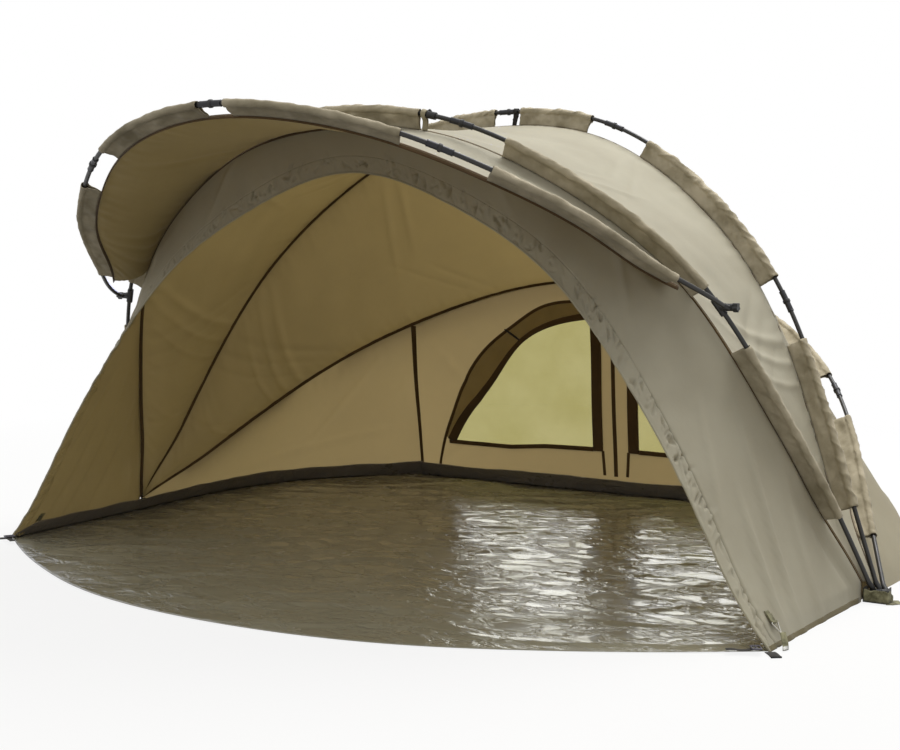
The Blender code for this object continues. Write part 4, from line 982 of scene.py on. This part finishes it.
def on_wall(x, z, lift=0.0):
    """A place on the rear wall from its x and height, moved out by a lift and the cloth's own relief.

    The wall is ruled from the ground line to the seam. The share u across and v up are found by stepping:
    v = (z - low) / (high - low) at u, then u moves by what x still lacks.
    """
    x, z = np.broadcast_arrays(np.asarray(x, float), np.asarray(z, float))
    along = np.linspace(0, 1, len(rear_edge))
    low_line = rear_line(np.linspace(-REAR_CORNER[0], REAR_CORNER[0], len(rear_edge)))
    u = (x / REAR_CORNER[0] + 1) / 2
    for _ in range(14):
        low, high = read_at(u, along, low_line), read_at(u, along, rear_edge)
        v = (z - low[..., 2]) / (high[..., 2] - low[..., 2])
        here = low[..., 0] * (1 - v) + high[..., 0] * v
        width = (1 - v) * 2 * REAR_CORNER[0] + v * (rear_edge[-1, 0] - rear_edge[0, 0])
        u = np.clip(u + (x - here) / width, 0, 1)
    low, high = read_at(u, along, low_line), read_at(u, along, rear_edge)
    v = ((z - low[..., 2]) / (high[..., 2] - low[..., 2]))[..., None]
    return low * (1 - v) + high * v + wall_normal * (np.asarray(lift) + wall_relief(x, z))[..., None]


WINDOW_INNER, WINDOW_OUTER, WINDOW_SILL, WINDOW_HEIGHT = 0.1, 0.754, 0.17, 0.545
WINDOW_SHAPE = ((1, 0), (0.876, 0.204), (0.667, 0.486), (0.436, 0.82), (0.2, 0.955), (0, 1))
window_x = WINDOW_INNER + (WINDOW_OUTER - WINDOW_INNER) * np.linspace(0, 1, 91)[None]
glass_line = spline([(WINDOW_INNER + (WINDOW_OUTER - WINDOW_INNER) * a, WINDOW_SILL + WINDOW_HEIGHT * b)
                     for a, b in WINDOW_SHAPE], 60)


def glass_top(x):
    """The height of a window's curved edge at a distance from the tent's middle."""
    return np.interp(np.abs(x), glass_line[::-1, 0], glass_line[::-1, 1])


def seam_top(x):
    """The height of the rear wall's seam at one x."""
    return np.interp(x, rear_edge[:, 0], rear_edge[:, 2])


def wall_edge(z):
    """The half width of the rear wall at a height, straight from the ground corner to the seam's corner."""
    return REAR_CORNER[0] + (rear_edge[-1, 0] - REAR_CORNER[0]) * z / corner_z


side_top = seam_stretch("rear", panel_start("rear"), run_at("rear", -corner_x), 600) + rear_normal * WEB_HALF
for side, sign in SIDES:
    grid = spanned(resampled(side_top * np.array([-sign, 1, 1]), 200), side_line(sign, 200), 60)
    along, across = map_of(grid)
    edge, settle = settled(across, 0.03)
    settle *= np.clip((along[:, -1:] - along) / 0.04, 0, 1) * np.clip((across[-1] - across) / 0.12, 0, 1)
    height = 0.004 * ripple(along, across, 0.4, 71) * settle
    height += 0.002 * ripple(along, across * 0.3, 0.05, 72) * np.exp(-edge / 0.04) * settle
    height += 0.006 * fold(along, across, (0.55, 0.05), (0.1, 0.42), 0.02) * settle
    height += 0.006 * fold(along, across, (0.62, 0.5), (-0.1, 0.3), 0.022) * settle
    wall = cloth_panel(f"side_wall_{side}_cloth", raised(grid, height * -sign), (sign * 4, 1, 0.3),
                       [f"side_wall_{side}"], material=wall_outer,
                       back=wall_inner, body="rear_rib")
    squashed([wall])

# The rear wall's parts, each as x and height: beyond, below and above each window, and the post between them
flank = np.linspace(0, 1, 25)[None]
low_rise, high_rise = np.linspace(0, 1, 15)[:, None], np.linspace(0, 1, 25)[:, None]
wall_parts = []
for _, sign in SIDES:
    top = seam_top(WINDOW_OUTER * sign)
    z = np.concatenate([low_rise * WINDOW_SILL, WINDOW_SILL + (top - WINDOW_SILL) * high_rise[1:]])
    z = np.maximum(z * (1 - flank) + z / top * corner_z * flank, HEM_LIFT)
    beyond = WINDOW_OUTER * (1 - flank) + wall_edge(np.minimum(z, corner_z)) * flank
    x = sign * window_x
    wall_parts += [(sign * beyond, z), (x, np.maximum(low_rise * WINDOW_SILL, HEM_LIFT)),
                   (x, glass_top(x) + (seam_top(x) - glass_top(x)) * high_rise)]
x = np.linspace(-WINDOW_INNER, WINDOW_INNER, 17)[None]
top = glass_top(WINDOW_INNER)
rise = WINDOW_SILL + (top - WINDOW_SILL) * np.linspace(0, 1, 41)[1:-1, None]
wall_parts.append((x, np.concatenate([np.maximum(low_rise * WINDOW_SILL, HEM_LIFT) + 0 * x, rise + 0 * x,
                                      top + (seam_top(x) - top) * high_rise])))
wall_parts = [np.broadcast_arrays(x, z) for x, z in wall_parts]
wall_grids = [on_wall(x, z) for x, z in wall_parts]
skins = [open_shell(grid, np.stack(part, axis=-1), wall_normal) for grid, part in zip(wall_grids, wall_parts)]
rear_wall = piece("rear_wall_cloth", skins, [wall_outer, wall_inner], "rear_rib",
                  ["rear_wall"])
rear_wall.modifiers.new("joined", "WELD").merge_threshold = 0.0004
give_wall(rear_wall)
squashed([rear_wall])


# Windows: clear film welded into each opening, slightly yellow against the light, with a few dimples where
# the rolled film has been folded.

# Clear vinyl film: a cloudy yellow tint that lets light through, under a thin smooth skin
film = bpy.data.materials.new("clear vinyl film, yellowed")
tree = emptied(film)
place = node(tree, "ShaderNodeTexCoord").outputs["Object"]
cloud = node(tree, "ShaderNodeTexNoise", {"Scale": 1 / 0.2, "Detail": 5.0}, {"Vector": place}).outputs["Fac"]
tint = node(tree, "ShaderNodeMix", {"data_type": "RGBA", 6: linear("#D6D1A4"), 7: linear("#EAE6C6")},
            {0: cloud})
clear = node(tree, "ShaderNodeBsdfTransparent", None, {"Color": tint.outputs[2]})
dimple = node(tree, "ShaderNodeBump", {"Strength": 0.3, "Distance": 0.002}, {"Height": cloud})
skin = node(tree, "ShaderNodeBsdfPrincipled", {"Base Color": linear("#B9B478"), "Roughness": 0.18},
            {"Normal": dimple})
film_mix = node(tree, "ShaderNodeMixShader", {0: 0.16}, {1: clear, 2: skin})
node(tree, "ShaderNodeOutputMaterial", None, {"Surface": film_mix})

for side, sign in SIDES:
    z = WINDOW_SILL + (glass_top(window_x) - WINDOW_SILL) * np.linspace(0, 1, 49)[:, None]
    x = sign * window_x + 0 * z
    sway = 0.0025 * ripple(x, z, 0.16, 81) * np.sin(math.pi * np.clip((z - WINDOW_SILL) / 0.5, 0, 1))
    window = cloth_panel(f"window_{side}_film", on_wall(x, z, sway), (0, 4, 0.3), [f"window_{side}"],
                         material=film, body="rear_rib")
    squashed([window])


# Window trim: brown binding round each window and along the arched flap seam above it, a band of pale brown
# netting between the two, zip tapes down the middle of the wall, and binding down its two corners.
# The binding by each window's curved edge and in the post between the windows is drawn wide, so that it
# paints the netting's shadow as well.

# Netting: brown polyester mesh, matt, that shows some of what is behind it
netting = proofed_cloth("dark polyester netting", "#A4926A", "#877751", 0.9, 0.5, "#C8BB90", thread=0.0035,
                        holes=0.24, blot=0.1)
FLAP_SEAM = ((-0.839, 0.054), (-0.772, 0.2), (-0.722, 0.29), (-0.63, 0.456), (-0.544, 0.569), (-0.407, 0.681),
             (-0.298, 0.749), (-0.175, 0.771), (-0.06, 0.772))
SILL_LINE = ((-0.765, 0.167), (-0.625, 0.163), (-0.48, 0.16), (-0.321, 0.173), (-0.1, 0.176))
POST_LINE, POST_HALF = ((-0.0775, 0.17), (-0.0775, 0.72)), 0.0225
STILE_LINE, STILE_HALF = ((-0.05, 0.073), (-0.056, 0.172)), 0.0065
ZIP_LINE, ZIP_HALF = ((0.0, 0.071), (-0.008, 0.77)), 0.0085
FLAP_HALF, GLASS_HALF, SILL_HALF, CORNER_HALF, TAPE_RISE = 0.006, 0.008, 0.0085, 0.0075, 0.0012
# The lifts of what lies inside the wall's cloth, and how far along the glass its tape is at its narrowest
INSIDE, NET_LIFT = -0.0026, -0.0017
NARROWEST = 37


def square_to(line):
    """Unit vectors in the plane, square to a line and on its left."""
    along = np.gradient(line, axis=0)
    return np.stack([-along[:, 1], along[:, 0]], axis=-1) / np.linalg.norm(along, axis=1)[:, None]


def taped(line, half, lift):
    """A flat tape along a line on the rear wall: an oval section across the line, standing off by the lift.

    The tape's half width is one number, or one at its start and one at its end.
    """
    line = resampled(line, max(6, int(run_of(line)[-1] / STATION)))
    half = np.interp(np.linspace(0, 1, len(line)), (0, 1), np.broadcast_to(half, 2))[:, None]
    section = flattened(half, TAPE_RISE)
    places = line[:, None] + square_to(line)[:, None] * section[..., :1]
    return shell(on_wall(places[..., 0], places[..., 1], lift + section[..., 1]))


flap = spline(FLAP_SEAM, 60)
glass = glass_line * np.array([-1, 1])
for side, sign in (("left", 1), ("right", -1)):
    mirror = np.array([sign, 1])
    # The wide inner tape along the glass and the post are binding and painted shadow of the netting in one
    tapes = [(flap, FLAP_HALF, INSIDE), (glass[:NARROWEST + 1], (0.019, 0.009), INSIDE),
             (glass[NARROWEST:], (0.009, 0.014), INSIDE), (glass, GLASS_HALF, -INSIDE),
             (SILL_LINE, SILL_HALF, INSIDE), (SILL_LINE, SILL_HALF, -INSIDE),
             (POST_LINE, POST_HALF, INSIDE * 1.2), (POST_LINE, POST_HALF, -INSIDE * 1.2),
             (STILE_LINE, STILE_HALF, INSIDE)]
    if side == "left":
        tapes.append((ZIP_LINE, ZIP_HALF, INSIDE))
    trim = piece(f"window_trim_{side}", [taped(line * mirror, half, lift) for line, half, lift in tapes],
                 [binding], "rear_rib")
    top_line = resampled(flap[flap[:, 1] > WINDOW_SILL + 0.01], 79)
    low_line = read_at(np.linspace(0, 1, 80), np.linspace(0, 1, len(glass)), glass)
    net = spanned(low_line, top_line, 8) * mirror
    net_band = cloth_panel(f"window_netting_{side}", on_wall(net[..., 0], net[..., 1], NET_LIFT), (0, 4, 0.3),
                           material=netting, body="rear_rib")
    heights = np.linspace(0.004, corner_z - 0.004, 40)
    corner = np.c_[-sign * wall_edge(heights) * 0.993, heights]
    corner_tape = piece(f"corner_binding_{side}", [taped(corner, CORNER_HALF, INSIDE * 1.4)], [binding],
                        "rear_rib")
    squashed([trim, net_band, corner_tape])


# Flap toggles: a nylon peg on a short loop at the bend of each flap seam, for the rolled flap. Peg and loop
# stand off the wall on the inside.

TOGGLE_RADIUS, TOGGLE_LIFT, LOOP_WIRE = 0.0045, -0.0095, 0.0016
TOGGLE_LINE = np.array([(-0.455, 0.655), (-0.4, 0.61)])
LOOP_LIFTS = np.array([-0.0036, -0.015, -0.015, -0.0036])
for side, sign in (("left", 1), ("right", -1)):
    flat = resampled(TOGGLE_LINE, 13) * np.array([sign, 1])
    line = on_wall(flat[:, 0], flat[:, 1], TOGGLE_LIFT)
    radius = TOGGLE_RADIUS * (0.45 + 0.55 * np.sin(math.pi * np.linspace(0.1, 0.9, len(flat))))
    peg = shell(swept(line, wall_normal, circle(radius, 12)))
    loop = on_wall(flat[5:9, 0], flat[5:9, 1], LOOP_LIFTS)
    loop = shell(swept(loop, (0.6 * sign, 0, 0.8), circle(LOOP_WIRE, 8)))
    toggle = piece(f"flap_toggle_{side}", [peg, loop], [nylon], "rear_rib", sharp=40)
    squashed([toggle])


# Groundsheet: one heavy sheet of coated cloth, glossy and wrinkled, with a dark lip that stands up round the
# back and the sides and leans in.

SHEET_FRONT_Y, SHEET_INSET, SHEET_LIFT = -1.155, 0.0035, 0.0022
SHEET_FRONT = ((1, 0), (0.824, 0.31), (0.618, 0.61), (0.412, 0.84), (0.19, 0.97), (0, 1))
SHEET_COLUMNS, SHEET_ROWS = 204, 220
LIP_FRONT, LIP_REAR, LIP_INSET, LIP_FOOT = 0.05, 0.063, 0.006, 0.003
SCUFF_SIZE, CRUMPLE_SIZE, FACET_SIZE = 0.3, 0.05, 0.085


def glossy_sheet(name, colour, shade, roughness):
    """Coated sheet: a smooth film over cloth, with fine sharp creases in relief and dull scuffed patches."""
    made = bpy.data.materials.new(name)
    tree = emptied(made)
    coords = node(tree, "ShaderNodeTexCoord").outputs["Object"]
    turned = node(tree, "ShaderNodeMapping", {"Rotation": (0, 0, -CAMERA_TURN), "Scale": (0.55, 1.0, 1.0)},
                  {"Vector": coords})
    cloud = node(tree, "ShaderNodeTexNoise", {"Scale": 1 / SCUFF_SIZE, "Detail": 5.0, "Roughness": 0.6},
                 {"Vector": coords})
    crumple = node(tree, "ShaderNodeTexNoise",
                   {"Scale": 1 / CRUMPLE_SIZE, "Detail": 4.0, "Roughness": 0.55, "Distortion": 0.8},
                   {"Vector": turned})
    tint = node(tree, "ShaderNodeMix", {"data_type": "RGBA", 6: linear(shade), 7: linear(colour)},
                {0: cloud.outputs["Fac"]})
    dull = node(tree, "ShaderNodeMapRange",
                {"From Min": 0.35, "From Max": 0.65, "To Min": roughness * 0.75, "To Max": roughness * 1.5},
                {"Value": cloud.outputs["Fac"]})
    bent = node(tree, "ShaderNodeVectorMath", {"operation": "MULTIPLY_ADD", 1: (0.1, 0.1, 0.1)},
                {0: crumple.outputs["Color"], 2: turned})
    facets = node(tree, "ShaderNodeTexVoronoi", {"feature": "DISTANCE_TO_EDGE", "Scale": 1 / FACET_SIZE},
                  {"Vector": bent})
    edges = node(tree, "ShaderNodeMapRange", {"From Max": 0.16}, {"Value": facets.outputs["Distance"]})
    soft = node(tree, "ShaderNodeBump", {"Strength": 0.3, "Distance": 0.0022},
                {"Height": crumple.outputs["Fac"]})
    bump = node(tree, "ShaderNodeBump", {"Strength": 0.6, "Distance": 0.0036},
                {"Height": edges, "Normal": soft})
    shader = node(tree, "ShaderNodeBsdfPrincipled",
                  {"Coat Weight": 0.5, "Coat Roughness": 0.07, "Coat Tint": linear("#D8E0FF"),
                   "Specular IOR Level": 0.6},
                  {"Base Color": tint.outputs[2], "Roughness": dull, "Normal": bump, "Coat Normal": bump})
    node(tree, "ShaderNodeOutputMaterial", None, {"Surface": shader})
    return made


# Olive grey coated sheet: glossy as wet vinyl
sheet_coat = glossy_sheet("glossy coated groundsheet, olive grey", "#A8A183", "#918B6D", 0.22)
# The lip's coating: the sheet's, but duller, and darker and browner as painted shade under the walls
lip_coat_painted_shade = glossy_sheet("glossy coated groundsheet lip, darkened as painted shade", "#948975", "#7F7564", 0.3)


def right_rim(inset):
    """The sheet's right edge on the ground, from the front corner through the hinge to the rear corner."""
    front = np.array([(FRONT_CORNER_X - inset, FRONT_CORNER_Y + inset)])
    return np.vstack([front, side_line(1, 60, inset)[:, :2]])


def back_rim(inset, count):
    """The sheet's back edge on the ground, from the left corner to the right one."""
    return rear_line(np.linspace(inset - REAR_CORNER[0], REAR_CORNER[0] - inset, count), inset)[:, :2]


# The floor is a patch between four edges: the two blends across less the blend of the corners
bow = arch_outline(FRONT_CORNER_X - SHEET_INSET, 1, SHEET_FRONT, SHEET_COLUMNS)
front_y = FRONT_CORNER_Y + SHEET_INSET
bow = np.c_[bow[:, 0], front_y + (SHEET_FRONT_Y - front_y) * bow[:, 1]]
back = back_rim(SHEET_INSET, SHEET_COLUMNS + 1)
rim = resampled(right_rim(SHEET_INSET), SHEET_ROWS)
left_rim = rim * np.array([-1, 1])
u = np.linspace(0, 1, SHEET_COLUMNS + 1)[None, :, None]
v = np.linspace(0, 1, SHEET_ROWS + 1)[:, None, None]
patch = (1 - v) * bow + v * back + (1 - u) * left_rim[:, None] + u * rim[:, None]
patch -= (1 - v) * ((1 - u) * bow[0] + u * bow[-1]) + v * ((1 - u) * back[0] + u * back[-1])
x, y = patch[..., 0], patch[..., 1]
across_view = x * math.cos(CAMERA_TURN) + y * math.sin(CAMERA_TURN)
into_view = y * math.cos(CAMERA_TURN) - x * math.sin(CAMERA_TURN)
crease = ridge(across_view * 0.45 + into_view * 0.2, into_view, 0.3, 91)
fine = ridge(across_view * 0.5 - into_view * 0.15, into_view, 0.11, 92)
patches = np.clip(0.55 + 0.6 * ripple(x, y, 0.9, 93), 0.1, 1)
rim_gap = np.minimum(np.minimum(u, 1 - u), np.minimum(v, 1 - v))[..., 0]
lifted = 0.005 * crease + 0.0022 * fine * patches + 0.0022 * (1 + ripple(x, y, 0.45, 94))
z = SHEET_LIFT + np.clip(lifted * np.clip(rim_gap / 0.03, 0, 1), 0, 0.02)
cloth_panel("groundsheet_floor", np.stack([x, y, z], axis=-1), (0, 0, 4), ["groundsheet"],
            material=sheet_coat, body="floor_and_walls")

right, back = right_rim(LIP_INSET), back_rim(LIP_INSET, 61)
rim = resampled(np.vstack([right, back[-2:0:-1], right[::-1] * np.array([-1, 1])]), 560)
run = run_of(rim)
share = np.clip((rim[:, 1] - FRONT_CORNER_Y) / (REAR_Y - FRONT_CORNER_Y), 0, 1)
lip_height = LIP_FRONT + (LIP_REAR - LIP_FRONT) * share**1.5
lip_height *= 0.3 + 0.7 * np.clip(np.minimum(run, run[-1] - run) / 0.08, 0, 1)
up = np.linspace(0, 1, 13)[:, None]
lip_z = LIP_FOOT + lip_height * (1 + 0.04 * ripple(run, run * 0, 0.3, 97)) * up
lean_in = (lip_height * 0.9 + 0.003 * share * (1 + ripple(run, up * 0.05, 0.09, 98))) * up
lip_grid = np.concatenate([rim + square_to(rim) * lean_in[..., None], lip_z[..., None]], axis=-1)
lip = cloth_panel("groundsheet_lip", lip_grid, (0, 0.3, 3), ["groundsheet"], material=lip_coat_painted_shade,
                  body="floor_and_walls")
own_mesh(lip)


# Hinge tabs: olive webbing sewn to each ground hinge, folded to a point, to be pegged down beside it. Each
# lies on the ground and rises a little in its middle.

# Olive webbing: coarse plain weave, matt, mottled with dust
olive_webbing = proofed_cloth("woven webbing, olive", "#949070", "#524F37", 0.9, 0.0, "#474A2E", thread=0.004,
                              blot=0.02)
WEBBING = 0.002
HINGE_TAB_HALF, HINGE_TAB_RISE = 0.028, 0.004
# Half the thickness of webbing that lies on the ground, and a hair more
LAID = 0.0014
for side, sign in SIDES:
    low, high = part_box(f"hinge_tab_{side}")
    inner_x, outer_x = (low[0], high[0]) if sign > 0 else (high[0], low[0])
    t, w = np.linspace(0, 1, 25)[:, None], np.linspace(-1, 1, 17)[None]
    rise = HINGE_TAB_RISE * np.clip(t - 0.1, 0, 1) * (1 - t) * 4 * (1 - 0.5 * w**2)
    grid = np.stack([inner_x + (outer_x - inner_x) * t + 0 * w,
                     HINGE_TAB_HALF * np.clip((1 - t) * 2, 0.06, 1) * w, LAID + rise], axis=-1)
    cloth_panel(f"hinge_tab_{side}_webbing", grid, (0, 0, 4), [f"hinge_tab_{side}"],
                material=olive_webbing, body="floor_and_walls", thickness=WEBBING)


# Hinge wraps: a band of the same webbing round each hinge base and the pin's head, sewn to the tab and to the
# walls' hems. It is cut low at the back, where the folded poles lie.

WRAP_GAP, WRAP_LOW, WRAP_HIGH, WRAP_BACK = 0.0018, 0.004, 0.037, 0.0205
WRAP_BEND, WRAP_WALL = 0.004, 0.0012
for side, sign in SIDES:
    low, high = np.array(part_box(f"hinge_base_{side}"))
    inner = (low[0] if sign > 0 else high[0]) + sign * WRAP_BEND
    end = np.array(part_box(f"hinge_pin_{side}"))[(sign + 1) // 2, 0] + sign * WRAP_GAP
    front, back = low[1] - WRAP_GAP, high[1] + WRAP_GAP
    turn = np.linspace(0, math.pi / 2, 7)
    bend_x, bend_y = end - sign * WRAP_BEND * (1 - np.sin(turn)), WRAP_BEND * (1 - np.cos(turn))
    flat = resampled(np.vstack([(inner, front), np.c_[bend_x, front + bend_y],
                                np.c_[bend_x, back - bend_y][::-1], (inner, back)]), 70)
    run = run_of(flat)
    height = np.linspace(0, 1, 9)[:, None]
    top = np.interp(flat[:, 1], (-0.01, 0.012), (WRAP_HIGH, WRAP_BACK))
    top += 0.002 * ripple(run, run * 0, 0.025, 55)
    bulge = 0.0022 * (1 + ripple(run, height * 0.03, 0.03, 56)) * np.sin(math.pi * height)
    x = flat[:, 0] + sign * bulge * (np.abs(flat[:, 1]) < 0.02)
    y = flat[:, 1] - bulge * (flat[:, 1] < -0.02)
    grid = np.stack([x, y, WRAP_LOW + (top - WRAP_LOW) * height], axis=-1)
    cloth_panel(f"hinge_wrap_{side}", grid, (sign * 4, -4, 0),
                material=olive_webbing, body="floor_and_walls", thickness=WRAP_WALL)


# Peg tabs: a loop of olive webbing sewn on each front corner, with a ring of bent steel wire in the shape of
# a rounded triangle, that takes the peg.

RING_PLACE = np.array([1.30615, -0.55889, 0.05053])
# The loop's own axes: along its fold, along its tails and out from the cloth
RING_AXES = np.array([(0.1462, 0.98852, -0.03824), (-0.61835, 0.12149, 0.77646),
                      (0.77218, -0.08988, 0.62901)])
TAB_HALF, TAB_LENGTH, TAB_COLUMNS, LOOP_RADIUS = 0.011, 0.034, 13, 0.0028
RING_WIRE, RING_WIDTH, RING_LENGTH = 0.0016, 0.03, 0.032
turn = np.linspace(-0.5 * math.pi, 0.75 * math.pi, 16)
loop_line = np.vstack([
    np.c_[np.linspace(TAB_LENGTH, 0.002, 10), np.full(10, -LOOP_RADIUS)],
    np.c_[-np.cos(turn) * LOOP_RADIUS, np.sin(turn) * LOOP_RADIUS],
    np.c_[np.linspace(0.004, TAB_LENGTH * 0.7, 8), np.full(8, 0.0004 - LOOP_RADIUS + WEBBING)],
])
tab_across = np.linspace(-TAB_HALF, TAB_HALF, TAB_COLUMNS)
tab_grid = np.stack([np.broadcast_to(tab_across, (len(loop_line), TAB_COLUMNS)),
                     np.repeat(loop_line[:, :1], TAB_COLUMNS, axis=1),
                     np.repeat(loop_line[:, 1:], TAB_COLUMNS, axis=1)], axis=-1)
corners = np.array([(-RING_WIDTH / 2, 0), (RING_WIDTH / 2, 0), (0, -RING_LENGTH)])
ring_line = []
for before, corner, after in zip(np.roll(corners, 1, axis=0), corners, np.roll(corners, -1, axis=0)):
    start, finish = (corner + (end - corner) / np.linalg.norm(end - corner) * RING_WIRE * 2.6
                     for end in (before, after))
    t = np.linspace(0, 1, 9)[:, None]
    ring_line.append(start * (1 - t) ** 2 + corner * 2 * t * (1 - t) + finish * t**2)
ring_line = resampled(np.vstack([*ring_line, ring_line[0][:1]]), 72)[:-1]
ring_out = square_to(ring_line[np.arange(-1, len(ring_line) + 1) % len(ring_line)])[1:-1]
wire = circle(RING_WIRE, 10)
rings = ring_line[:, None] + ring_out[:, None] * wire[:, :1]
rings = np.concatenate([rings, np.broadcast_to(wire[:, 1:], (len(ring_line), 10, 1))], axis=-1)
for side, sign in SIDES:
    mirror = np.array([sign, 1, 1])
    tab = cloth_panel(f"peg_tab_{side}_webbing", (RING_PLACE + tab_grid @ RING_AXES) * mirror,
                      (RING_PLACE + RING_AXES[2]) * mirror, [f"peg_tab_{side}"],
                      material=olive_webbing, body="front_rib",
                      thickness=WRAP_WALL)
    bent = shell((RING_PLACE + rings @ RING_AXES) * mirror, joined=True)
    ring = piece(f"v_ring_{side}_wire", [bent], [steel], f"v_ring_{side}", [f"v_ring_{side}"])
    squashed([tab, ring])


# Corner straps: dark webbing from each front corner out along the ground, its end crimped in a metal tip. It
# is laid flat and rises a little in its middle.

STRAP_HALF, STRAP_LENGTH, STRAP_RISE, STRAP_TURN = 0.013, 0.05, 0.002, math.radians(38)
TIP_START, TIP_END, TIP_RISE = 0.046, 0.052, 0.0022
for side, sign in SIDES:
    ahead = np.array([sign * math.sin(STRAP_TURN), -math.cos(STRAP_TURN), 0])
    beside = np.array([math.cos(STRAP_TURN), sign * math.sin(STRAP_TURN), 0])
    t, w = np.linspace(0, 1, 21)[:, None, None], np.linspace(-1, 1, 11)[None, :, None]
    start = np.array([sign * FRONT_CORNER_X, FRONT_CORNER_Y, LAID])
    rise = STRAP_RISE * np.sin(math.pi * t) * (1 - 0.3 * w**2) * np.array([0, 0, 1])
    grid = start + ahead * (0.0012 + STRAP_LENGTH * t) + beside * STRAP_HALF * w + rise
    cloth_panel(f"front_strap_{side}_webbing", grid, (0, 0, 4), [f"front_strap_{side}"],
                material=dark_webbing, body="floor_and_walls", thickness=WEBBING)
    line = start + ahead * np.linspace(TIP_START, TIP_END, 6)[:, None] + np.array([0, 0, TIP_RISE])
    tip = shell(swept(line, beside, flattened(STRAP_HALF * 1.05, 0.0019, 16)))
    piece(f"strap_tip_{side}", [tip], [anodised], "floor_and_walls", sharp=40)


# Corner tabs: a short olive webbing tail sewn on the surround's edge at each front corner, with a zinc tip,
# hanging down to the ground.

# Zinc plate: dull pale grey
zinc = rough_coat("dull zinc plate", "#8C8B86", 0.5, metallic=0.5)
TAIL_HALF, TAIL_WALL, TAIL_SIDE = 0.0095, 0.0014, np.array([0.45, 0.89, 0])
TAIL_LINE = ((1.3375, -0.588, 0.036), (1.346, -0.598, 0.022), (1.3545, -0.613, 0.0085),
             (1.359, -0.6255, 0.0035))
tail = resampled(spline(TAIL_LINE, 30), 24)
for side, sign in SIDES:
    mirror = np.array([sign, 1, 1])
    grid = (tail[:, None] - TAIL_SIDE * TAIL_HALF * np.linspace(-1, 1, 9)[None, :, None]) * mirror
    tab = cloth_panel(f"corner_tab_{side}", grid, (sign * 4, -2, 1),
                      material=olive_webbing, body="front_rib",
                      thickness=TAIL_WALL)
    end = shell(swept(tail[-7:] * mirror, TAIL_SIDE * mirror / np.linalg.norm(TAIL_SIDE),
                      flattened(TAIL_HALF * 1.08, 0.0021, 16)))
    tip = piece(f"corner_tab_tip_{side}", [end], [zinc], "front_rib", sharp=40)
    squashed([tab, tip])


# Corner buckles: a grey ladder buckle on a short dark strap along the sheet's front edge, at each front
# corner. The buckle is moulded in one piece, with three rungs between two rails.

# Grey acetal: matt, slightly violet
acetal = rough_coat("moulded grey acetal", "#4A4750", 0.5, grain=0.0012, depth=0.0001)
BUCKLE_PLACE = np.array([1.306, -0.684, 0.0155])
BUCKLE_AHEAD, BUCKLE_BESIDE = np.array([-0.85, -0.53, 0]) * 0.011, np.array([0.53, -0.85, 0]) * 0.015
BUCKLE_BAR, RUNGS = 0.0022, (((-1, -1), (-1, 1)), ((0, -1), (0, 1)), ((1, -1), (1, 1)))
RAILS = (((-1, -1), (1, -1)), ((-1, 1), (1, 1)))
EDGE_STRAP_LINE, EDGE_STRAP_HALF = ((1.318, -0.679), (1.285, -0.699), (1.245, -0.724)), 0.009
line = resampled(np.array(EDGE_STRAP_LINE), 24)
flat = line[:, None] + square_to(line)[:, None] * EDGE_STRAP_HALF * np.linspace(-1, 1, 9)[:, None]
wave = 0.011 + 0.0018 * np.sin(np.linspace(0, 9, len(line)))
grid = np.concatenate([flat, np.broadcast_to(wave[:, None, None], (*flat.shape[:2], 1))], axis=-1)
for side, sign in SIDES:
    mirror = np.array([sign, 1, 1])
    cloth_panel(f"edge_strap_{side}", grid * mirror, (0, 0, 4), material=dark_webbing,
                body="floor_and_walls")
    bars = []
    for ends in RUNGS + RAILS:
        start, finish = (BUCKLE_PLACE + BUCKLE_AHEAD * a + BUCKLE_BESIDE * b for a, b in ends)
        bar = np.linspace(start, finish, 6) * mirror
        bars.append(shell(swept(bar, (0.0, 0.0, 1.0), circle(BUCKLE_BAR, 10))))
    piece(f"corner_buckle_{side}", bars, [acetal], "floor_and_walls", sharp=50)
